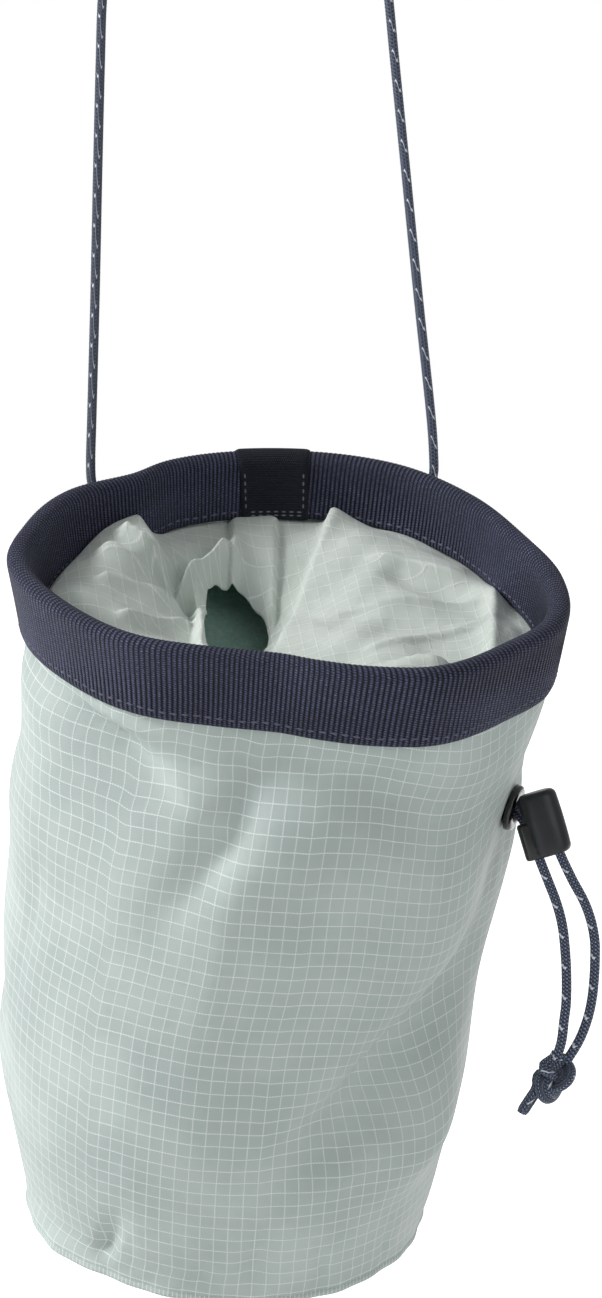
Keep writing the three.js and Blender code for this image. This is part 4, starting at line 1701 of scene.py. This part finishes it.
@dataclass
class ClosureCuff:
    """The drawstring cuff crumpled into the mouth."""

    kit: Kit
    columns: int = 320
    rows: int = 116
    tuck: float = 0.06
    tuck_top: float = -13.0
    tuck_low: float = -17.0
    fall: float = 2.2
    flat: tuple[float, float] = (0.364, 0.041)
    hem_gathers: int = 17
    hem_rise: float = 0.35
    crumple: float = 0.42
    slant: tuple[float, float] = (0.25, -0.45)

    def fold_height(self, x: np.ndarray, y: np.ndarray) -> np.ndarray:
        """Adds up the folds over the mouth.

        Args:
            x: Places across the mouth.
            y: Places from its front to its back.

        Returns:
            The rise at each place.
        """
        rise = np.zeros_like(x)
        for fold in CUFF_FOLDS:
            start, end = np.array(fold.start), np.array(fold.end)
            run = end - start
            length = float(np.hypot(*run))
            along = ((x - start[0]) * run[0] + (y - start[1]) * run[1]) / length**2
            off = ((x - start[0]) * run[1] - (y - start[1]) * run[0]) / length
            reach = np.where(off < 0, fold.right, fold.left)
            beyond = np.maximum(np.maximum(-along, along - 1), 0.0) * length
            beyond /= max(fold.left, fold.right)
            across = np.abs(off) / reach
            if fold.crease is Crease.SOFT:
                section = np.exp(-(across**2))
            elif fold.crease is Crease.SHARP:
                section = np.exp(-1.4 * (np.sqrt(across**2 + 0.01) - 0.1))
            else:
                section = 1 - smoothstep(across, 0.9, 1.14)
            rise += fold.rise * section * np.exp(-(beyond**2))
        wave = np.sin(0.21 * x + 0.13 * y + 1.4 * np.sin(0.11 * y))
        wave += np.sin(0.34 * y - 0.19 * x + 1.7 * np.sin(0.14 * x + 0.8))
        return rise + self.crumple * wave

    def build(self) -> None:
        """Builds the cuff from the webbing's slot to the gathered hole."""
        form = self.kit.form
        inside = -form.shell_wall - form.gap - form.cuff_wall / 2

        def place(across: np.ndarray, way: np.ndarray) -> np.ndarray:
            """Places the cuff's points.

            Args:
                across: Shares round it.
                way: Shares in from the webbing.

            Returns:
                The points.
            """
            turn = turns_round(across)
            drop = (self.tuck_low - self.tuck_top) * smoothstep(way, 0.0, self.tuck)
            edge = form.settle(turn, np.full_like(turn, inside), self.tuck_top + drop)
            spin = turn % 360.0
            hole = np.stack([read_column(CLOSED_HOLE, k, spin) for k in (1, 2, 3)], axis=-1)
            inward = np.clip((way - self.tuck) / (1 - self.tuck), 0.0, 1.0)
            points = edge + (hole - edge) * inward[..., None]
            points[..., 2] = edge[..., 2] + (hole[..., 2] - edge[..., 2]) * inward**self.fall
            grip = smoothstep(way, self.tuck * 0.6, self.tuck * 2.6)
            rise = self.fold_height(points[..., 0], points[..., 1]) * grip
            angle = np.radians(turn)
            hem = np.sin(angle * self.hem_gathers + 2 * np.sin(angle * 2))
            rise += self.hem_rise * hem * smoothstep(way, 0.72, 1.0)
            points[..., 2] += rise
            return form.to_scene(points)

        bm = cloth_grid(self.columns, self.rows, place)
        map_flat(bm, form, self.slant)
        cuff = self.kit.make(
            "closure_cuff_cloth", bm, "cuff", Slot.RIPSTOP, "closure_cuff", wall=0.35, offset=0.0
        )


@dataclass
class RimWebbing:
    """The webbing folded over the rim, its join tape, the belt tunnel and their stitches."""

    kit: Kit
    rib: float = 1.2
    rib_columns: int = 4
    rib_relief: float = 0.12
    section_rows: int = 36
    tape_width: float = 19.5
    tape_turn: float = 179.0
    tape_wall: float = 0.45
    tape_lift: float = 0.55
    tape_foot_walls: float = 3.0
    tape_stitch_in: float = 1.4
    tape_columns: int = 26
    tunnel_turn: float = 184.0
    tunnel_length: float = 74.0
    tunnel_top: float = 3.6
    tunnel_height: float = 14.0
    tunnel_room: float = 4.4
    tunnel_wall: float = 1.1
    tunnel_shoulder: float = 2.8
    stitch_from_edge: float = 2.2

    def slot_width(self) -> float:
        """Returns the room between the webbing's two legs."""
        form = self.kit.form
        return form.shell_wall + form.cuff_wall + 3 * form.gap

    def legs(self) -> tuple[float, float, float]:
        """Returns the outer face, the inner face and the crest's radius."""
        form = self.kit.form
        outside = form.webbing_wall + form.gap
        inside = form.gap - self.slot_width() - form.webbing_wall
        return outside, inside, (outside - inside) / 2

    def arch(self, outer: float, inner: float, low_out: float, low_in: float) -> np.ndarray:
        """Draws a folded strip's outer line.

        Args:
            outer: Its outer face.
            inner: Its inner face.
            low_out: Where the outer leg ends.
            low_in: Where the inner leg ends.

        Returns:
            Points of out and level, from the outer leg's foot over the crest.
        """
        crest = self.legs()[2]
        middle, radius = (outer + inner) / 2, (outer - inner) / 2
        angles = np.linspace(0.0, math.pi, 15)
        bend = np.stack([middle + radius * np.cos(angles), radius * np.sin(angles) - crest], axis=1)
        legs_out = np.array([[outer, level] for level in np.linspace(low_out, -crest, 15)[:-1]])
        legs_in = np.array([[inner, level] for level in np.linspace(-crest, low_in, 13)[1:]])
        return np.concatenate([legs_out, bend, legs_in])

    def build(self) -> None:
        """Builds the band, the tape, the tunnel and the stitches."""
        self.build_band()
        self.build_tape()
        self.build_tunnel()
        self.build_stitches()

    def strip(
        self, columns: int, line: np.ndarray, turns: Callable[[np.ndarray], np.ndarray],
        relief: Callable[[np.ndarray, np.ndarray], np.ndarray], closed: bool,
    ) -> bmesh.types.BMesh:
        """Sweeps a folded line round the rim.

        Args:
            columns: Faces along the rim.
            line: Points of out and level.
            turns: Gives the turn for shares along the rim.
            relief: Gives how far the ribs stand out, for shares along and across.
            closed: Whether it goes all the way round.

        Returns:
            The bmesh.
        """
        form = self.kit.form
        runs = np.linalg.norm(np.diff(line, axis=0), axis=1)
        travelled = np.concatenate([[0.0], np.cumsum(runs)]) / runs.sum()
        ways = np.gradient(line, axis=0)
        out_ways = np.stack([ways[:, 1], -ways[:, 0]], axis=1)
        out_ways /= np.linalg.norm(out_ways, axis=1, keepdims=True)

        def place(along: np.ndarray, across: np.ndarray) -> np.ndarray:
            """Places the strip's points.

            Args:
                along: Shares along the rim.
                across: Shares across the strip.

            Returns:
                The points.
            """
            raised = relief(along, across)
            out, level = (
                np.interp(across, travelled, line[:, k])
                + raised * np.interp(across, travelled, out_ways[:, k])
                for k in (0, 1)
            )
            return form.to_scene(form.settle(turns(along), out, level))

        return cloth_grid(columns, self.section_rows, place, closed=closed)

    def build_band(self) -> None:
        """Builds the ribbed band, closed round the rim."""
        form = self.kit.form
        outside, inside, _ = self.legs()
        line = self.arch(outside, inside, -form.webbing_height, -form.webbing_inside)
        ribs = round(2 * math.pi * form.mouth_radius / self.rib)
        columns = ribs * self.rib_columns

        def relief(along: np.ndarray, across: np.ndarray) -> np.ndarray:
            """Raises the band's ribs.

            Args:
                along: Shares along the rim.
                across: Shares across the band.

            Returns:
                How far they stand out, in millimetres.
            """
            crown = np.abs(np.sin(math.pi * ribs * along)) - 0.5
            edge = smoothstep(across, 0.0, 0.03) * smoothstep(1 - across, 0.0, 0.03)
            return self.rib_relief * crown * edge - 0.25 * (1 - edge)

        bm = self.strip(columns, line, turns_round, relief, True)
        self.match_ribs(bm, ribs)
        self.kit.make(
            "rim_webbing", bm, "webbing", Slot.WEBBING, "rim_band", wall=form.webbing_wall
        )

    def match_ribs(self, bm: bmesh.types.BMesh, ribs: int) -> None:
        """Maps the band by rib number, so that its pattern lies on its ribs.

        Args:
            bm: The band.
            ribs: How many ribs it has.
        """
        layer = bm.loops.layers.uv[CLOTH_MAP]
        form = self.kit.form
        into = Matrix(form.pose()).transposed()
        centre = Vector(form.mouth_centre) * MM
        for face in bm.faces:
            turns = []
            for loop in face.loops:
                spot = into @ (loop.vert.co - centre)
                turns.append(math.atan2(spot.x, -spot.y) / (2 * math.pi))
            if max(turns) - min(turns) > 0.5:
                turns = [turn + 1 if turn < 0 else turn for turn in turns]
            for loop, turn in zip(face.loops, turns, strict=True):
                loop[layer].uv.x = turn * ribs * self.rib * MM

    def build_tape(self) -> None:
        """Builds the tape over the join at the back of the rim."""
        form = self.kit.form
        outside, inside, _ = self.legs()
        outer = outside + self.tape_lift
        inner = inside - self.tape_lift
        line = self.arch(outer, inner, -form.webbing_wall * self.tape_foot_walls, -form.webbing_inside)
        half = math.degrees(self.tape_width / 2 / form.mouth_radius)

        def relief(along: np.ndarray, across: np.ndarray) -> np.ndarray:
            """Returns how far the tape stands out: its two ends are pressed in."""
            edge = smoothstep(along, 0.0, 0.05) * smoothstep(1 - along, 0.0, 0.05)
            return -0.3 * (1 - edge)

        bm = self.strip(
            self.tape_columns,
            line,
            lambda along: self.tape_turn + (2 * along - 1) * half,
            relief,
            False,
        )
        self.kit.make("join_tape", bm, "tape", Slot.WEBBING, "rim_join_tape", wall=self.tape_wall)

    def tunnel_line(self) -> np.ndarray:
        """Returns the tunnel's outer line, from its lower foot to its upper one."""
        form = self.kit.form
        foot = form.webbing_wall + 2 * form.gap + self.tunnel_wall
        crown = foot + self.tunnel_room
        top, low = -self.tunnel_top, -self.tunnel_top - self.tunnel_height
        rise = self.tunnel_shoulder
        corners = np.array([(foot, low), (crown, low + rise), (crown, top - rise), (foot, top)])
        share = np.linspace(0.0, 1.0, 12)[:, None]
        spans = [a + (b - a) * share[:-1] for a, b in zip(corners[:-1], corners[1:], strict=True)]
        line = np.concatenate([*spans, corners[-1:]])
        for _ in range(4):
            line[1:-1] = (line[:-2] + 2 * line[1:-1] + line[2:]) / 4
        return line

    def build_tunnel(self) -> None:
        """Builds the belt tunnel at the back."""
        form = self.kit.form
        half = math.degrees(self.tunnel_length / 2 / form.mouth_radius)
        ribs = round(self.tunnel_length / self.rib)

        def relief(along: np.ndarray, across: np.ndarray) -> np.ndarray:
            """Returns how far the tunnel's ribs stand out."""
            return self.rib_relief * (np.abs(np.sin(math.pi * ribs * along)) - 0.5)

        bm = self.strip(
            ribs * self.rib_columns,
            self.tunnel_line(),
            lambda along: self.tunnel_turn + (2 * along - 1) * half,
            relief,
            False,
        )
        self.kit.make(
            "belt_tunnel_webbing", bm, "webbing", Slot.WEBBING, "belt_tunnel", wall=self.tunnel_wall
        )

    def row(
        self, turns: np.ndarray, out: float, levels: np.ndarray | float, facing: float = 1.0
    ) -> tuple[np.ndarray, np.ndarray]:
        """Lays out a row of stitches along the rim.

        Args:
            turns: Where it runs, in degrees.
            out: How far out it lies.
            levels: Its level, or one for each turn.
            facing: 1 on the outside, -1 on the inside.

        Returns:
            The row's points and the direction out of the cloth.
        """
        form = self.kit.form
        line = form.to_scene(form.settle(turns, out, levels))
        outer = form.to_scene(form.settle(turns, out + facing, levels))
        return line, outer - line

    def build_stitches(self) -> None:
        """Sews the webbing's two edges, the tape and the tunnel."""
        form = self.kit.form
        outside, inside, _ = self.legs()
        sewing = Stitching()
        bm = bmesh.new()
        whole = np.linspace(-180.0, 180.0, 500)
        waver = 0.18 * np.sin(np.radians(whole) * 23)
        low = -form.webbing_height + self.stitch_from_edge
        sewing.add(bm, *self.row(whole, outside, low + waver))
        low = -form.webbing_inside + self.stitch_from_edge * 0.8
        sewing.add(bm, *self.row(whole, inside, low + waver, -1.0))
        self.kit.make("webbing_stitches", bm, "dark_thread", Slot.WEBBING)
        bm = bmesh.new()
        sewing = Stitching(pitch=1.9, length=1.3, radius=0.2)
        inner = inside - self.tape_lift
        half = math.degrees((self.tape_width / 2 - self.tape_stitch_in) / form.mouth_radius)
        levels = np.linspace(-4.0, -form.webbing_inside + self.tape_stitch_in, 40)
        for side in (-half, half):
            turns = np.full(40, self.tape_turn + side)
            sewing.add(bm, *self.row(turns, inner, levels, -1.0))
        turns = np.linspace(self.tape_turn - half, self.tape_turn + half, 30)
        for rise in (1.1, 2.0):
            sewing.add(bm, *self.row(turns, inner, -form.webbing_inside + rise, -1.0))
        half = math.degrees((self.tunnel_length / 2 - 2.0) / form.mouth_radius)
        turns = np.linspace(self.tunnel_turn - half, self.tunnel_turn + half, 60)
        foot = form.webbing_wall + 2 * form.gap + self.tunnel_wall
        for level in (-self.tunnel_top - 0.7, -self.tunnel_top - self.tunnel_height + 0.7):
            sewing.add(bm, *self.row(turns, foot + 0.8, level))
        self.kit.make("tape_stitches", bm, "pale_thread", Slot.WEBBING)


@dataclass
class Eyelet:
    """The ring that the drawcord comes out of."""

    kit: Kit
    radius: float = 5.5
    bore: float = 2.75
    seat: float = 0.7
    rise: float = 1.3
    steps: int = 56

    def build(self) -> None:
        """Builds the ring."""
        place = self.kit.form.eyelet_seat()
        bm = bmesh.new()
        section = [(self.bore, -1.2), (self.bore + 0.75, -1.2), (self.bore + 0.75, self.seat - 0.5)]
        section += [(self.radius, self.seat - 0.5), (self.radius, self.seat + 0.3)]
        rounding = np.linspace(0.1, math.pi - 0.35, 12)
        middle, reach = (self.radius + self.bore) / 2, (self.radius - self.bore) / 2
        for angle in rounding:
            out = middle + reach * math.cos(angle)
            section.append((out, self.seat + 0.35 + (self.rise - 0.35) * math.sin(angle) ** 0.8))
        vertices = [bm.verts.new((out * MM, 0.0, up * MM)) for out, up in section]
        edges = [
            bm.edges.new((a, b))
            for a, b in zip(vertices, vertices[1:] + vertices[:1], strict=True)
        ]
        bmesh.ops.spin(
            bm, geom=vertices + edges, cent=(0, 0, 0), axis=(0, 0, 1), dvec=(0, 0, 0),
            angle=2 * math.pi, steps=self.steps, use_merge=True, use_duplicate=False,
        )
        bmesh.ops.remove_doubles(bm, verts=bm.verts, dist=1e-7)
        bmesh.ops.recalc_face_normals(bm, faces=bm.faces)
        bmesh.ops.transform(bm, matrix=place, verts=bm.verts)
        self.kit.make("eyelet_ring", bm, "gloss", Slot.PLASTIC, "drawcord_eyelet")


@dataclass
class CordLock:
    """The spring cord lock and the loop of drawcord that runs from the eyelet into it."""

    kit: Kit
    length: float = 15.2
    width: float = 9.2
    depth: float = 7.6
    lean: float = 16.7
    centre: tuple[float, float, float] = (69.8, -45.7, -231.0)
    corner: float = 3.7
    edge: float = 1.5
    plunger_size: tuple[float, float, float] = (4.2, 5.6, 8.6)
    plunger_shift: tuple[float, float, float] = (-4.4, 0.4, -3.2)
    plunger_corner: float = 1.4
    plunger_edge: float = 0.7
    swell: float = 1.03
    swell_fade: float = 0.05
    strand_shifts: tuple[tuple[float, float, float], ...] = ((0.0, -0.6, 1.1), (0.0, 0.6, -1.1))
    neck: tuple[tuple[float, float, float], ...] = (
        (61.9, -39.7, -227.6), (63.2, -40.6, -228.0), (64.4, -41.8, -228.9),
        (65.6, -43.4, -230.4), (66.6, -44.9, -232.4), (67.3, -45.6, -234.4),
    )  # fmt: skip

    def pose(self) -> Matrix:
        """Returns the lock's place in the scene, in metres."""
        turned = Matrix.Rotation(-math.radians(self.lean), 4, "Y")
        return Matrix.Translation(Vector(self.centre) * MM) @ turned

    def block(
        self, size: tuple[float, float, float], corner: float, edge: float
    ) -> bmesh.types.BMesh:
        """Shapes a soft-edged block with bevels.

        Args:
            size: Its width, depth and height.
            corner: Rounding of its upright edges.
            edge: Rounding of its top and bottom rims.

        Returns:
            The bmesh, in metres.
        """
        bm = bmesh.new()
        bmesh.ops.create_cube(bm, size=1.0)
        bmesh.ops.scale(bm, vec=Vector(size) * MM, verts=bm.verts)
        upright = [
            e for e in bm.edges if abs((e.verts[0].co - e.verts[1].co).normalized().z) > 0.9
        ]
        bmesh.ops.bevel(
            bm, geom=upright, offset=corner * MM, segments=8, profile=0.5,
            affect="EDGES", material=-1,
        )
        half = size[2] * MM / 2
        rims = [
            e
            for e in bm.edges
            if all(abs(abs(v.co.z) - half) < 1e-7 for v in e.verts)
            and sum(abs(f.normal.z) > 0.9 for f in e.link_faces) == 1
        ]
        bmesh.ops.bevel(
            bm, geom=rims, offset=edge * MM, segments=5, profile=0.5,
            affect="EDGES", material=-1,
        )
        return bm

    def build(self) -> None:
        """Builds the body, the plunger and the neck of cord."""
        body = self.block((self.width, self.depth, self.length), self.corner, self.edge)
        bmesh.ops.subdivide_edges(
            body,
            edges=[e for e in body.edges if abs(e.verts[0].co.z - e.verts[1].co.z) > 4 * MM],
            cuts=6,
        )
        for vertex in body.verts:
            share = vertex.co.z / (self.length * MM / 2)
            swell = self.swell - self.swell_fade * share**2
            vertex.co.x *= swell
            vertex.co.y *= swell
        bmesh.ops.transform(body, matrix=self.pose(), verts=body.verts)
        self.kit.make("cord_lock_barrel", body, "satin", Slot.PLASTIC, "cord_lock_body")
        plunger = self.block(self.plunger_size, self.plunger_corner, self.plunger_edge)
        shift = Matrix.Translation(Vector(self.plunger_shift) * MM)
        bmesh.ops.transform(plunger, matrix=self.pose() @ shift, verts=plunger.verts)
        self.kit.make("cord_lock_button", plunger, "gloss", Slot.PLASTIC, "cord_lock_plunger")
        braid = Braid()
        line = smooth_route(self.neck, braid.step)
        bm = braid.bundle([line + np.array(shift) for shift in self.strand_shifts])
        self.kit.make("drawcord_neck_strands", bm, "cord", Slot.CORD, "drawcord_neck")


@dataclass
class Studio:
    """The camera, the floor and the lights. Lengths are metres."""

    camera_at: tuple[float, float, float] = (0.01328, -1.1476, -0.1328)
    look: tuple[float, float, float] = (0.0, 0.99863, -0.05234)
    lens: float = 132.07
    sensor: float = 36.0
    floor_level: float = -0.52
    floor_size: float = 12.0
    surround: float = 0.36
    aim_at: tuple[float, float, float] = (0.0, -0.03, -0.25)

    def build_camera(self) -> None:
        """Builds the camera at the photograph's angle."""
        data = bpy.data.cameras.new("camera")
        data.lens, data.sensor_width, data.sensor_fit = self.lens, self.sensor, "AUTO"
        data.clip_start, data.clip_end = 0.05, 60.0
        camera = bpy.data.objects.new("camera", data)
        bpy.context.scene.collection.objects.link(camera)
        camera.location = self.camera_at
        camera.rotation_mode = "QUATERNION"
        camera.rotation_quaternion = Vector(self.look).to_track_quat("-Z", "Y")
        bpy.context.scene.camera = camera

    def build_floor(self) -> None:
        """Builds the pale floor."""
        bm = bmesh.new()
        bmesh.ops.create_grid(bm, x_segments=4, y_segments=4, size=self.floor_size)
        bmesh.ops.translate(bm, vec=(0, 0, self.floor_level), verts=bm.verts)
        material = bpy.data.materials.new("pale_floor")
        material.use_nodes = True
        shader = material.node_tree.nodes["Principled BSDF"]
        shader.inputs["Base Color"].default_value = (0.93, 0.93, 0.93, 1.0)
        shader.inputs["Roughness"].default_value = 0.9
        shader.inputs["Emission Color"].default_value = (1.0, 1.0, 1.0, 1.0)
        wiring = Wiring(material.node_tree)
        spot = wiring.node("ShaderNodeTexCoord").outputs["Object"]
        behind = wiring.remap(wiring.split(spot)[1], 0.2, 0.9, 0.0, 0.9)
        wiring.feed(shader.inputs["Emission Strength"], behind)
        to_object("floor", bm, material)

    def add_light(
        self, name: str, at: tuple[float, float, float], size: float, power: float
    ) -> None:
        """Adds a soft square light aimed at the bag.

        Args:
            name: Its name.
            at: Its place.
            size: The length of its side.
            power: Its power in watts.
        """
        data = bpy.data.lights.new(name, "AREA")
        data.shape, data.size, data.energy = "SQUARE", size, power
        light = bpy.data.objects.new(name, data)
        bpy.context.scene.collection.objects.link(light)
        light.location = at
        aim = Vector(self.aim_at) - Vector(at)
        light.rotation_mode = "QUATERNION"
        light.rotation_quaternion = aim.to_track_quat("-Z", "Y")

    def build_light(self) -> None:
        """Builds the surroundings, brighter behind the bag, and two soft lights."""
        world = bpy.data.worlds.new("studio")
        world.use_nodes = True
        wiring = Wiring(world.node_tree)
        way = wiring.node("ShaderNodeTexCoord").outputs["Generated"]
        behind = wiring.remap(wiring.split(way)[1], 0.8, 0.95, self.surround, 1.0)
        sky = world.node_tree.nodes["Background"]
        sky.inputs["Color"].default_value = (1.0, 1.0, 1.0, 1.0)
        wiring.feed(sky.inputs["Strength"], behind)
        bpy.context.scene.world = world
        bpy.context.scene.view_settings.view_transform = "Standard"
        self.add_light("key", at=(-2.0, -0.6, 1.2), size=0.7, power=56.0)
        self.add_light("fill", at=(1.2, -1.5, 0.2), size=1.4, power=5.0)


def make_materials() -> dict[str, bpy.types.Material]:
    """Builds every finish once and returns them by name."""
    dresser = Dresser(Effects())
    girth = Braid().girth() * MM
    finishes = {
        "ripstop": RipstopFinish(),
        "cuff": RipstopFinish(
            name="cuff_cloth", cloth=(210, 220, 212), shade=(194, 206, 198),
            rumple=1.2 * MM, glow=0.85,
        ),
        "binding": RipstopFinish(name="seam_binding", across=1.1 * MM, up=7.3 * MM),
        "webbing": WebbingFinish(),
        # The tape's low colour is painted shade in its rib valleys, high a painted highlight on its crowns
        "tape": WebbingFinish(
            name="join_tape_webbing", low=(14, 16, 28), high=(52, 56, 76),
            rib=0.6 * MM, thread=0.5 * MM, ribs_run=RibWay.ALONG,
        ),
        "fleece": FleeceFinish(),
        "satin": PlasticFinish(name="satin_plastic", colour=(27, 31, 37), roughness=0.3),
        "gloss": PlasticFinish(
            name="gloss_plastic", colour=(14, 16, 19), roughness=0.2, coat=0.4
        ),
        "cord": CordFinish(name="braided_cord", girth=girth),
        "dark_thread": ThreadFinish(),
        "pale_thread": ThreadFinish(name="pale_thread", colour=(126, 132, 142)),
    }
    return {name: finish.build(dresser) for name, finish in finishes.items()}


def main() -> None:
    """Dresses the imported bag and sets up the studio."""
    logging.basicConfig(level=logging.INFO, format="%(name)s: %(message)s")
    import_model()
    studio = Studio()
    studio.build_camera()
    kit = Kit(BagForm(), make_materials())
    for assembly in (
        WaistCord(kit),
        Drawcord(kit),
        OuterShell(kit),
        FleeceLining(kit),
        ClosureCuff(kit),
        RimWebbing(kit),
        Eyelet(kit),
        CordLock(kit),
    ):
        assembly.build()
    studio.build_floor()
    studio.build_light()
    LOG.info("%d pieces", len(kit.made))


if __name__ == "__main__":
    main()
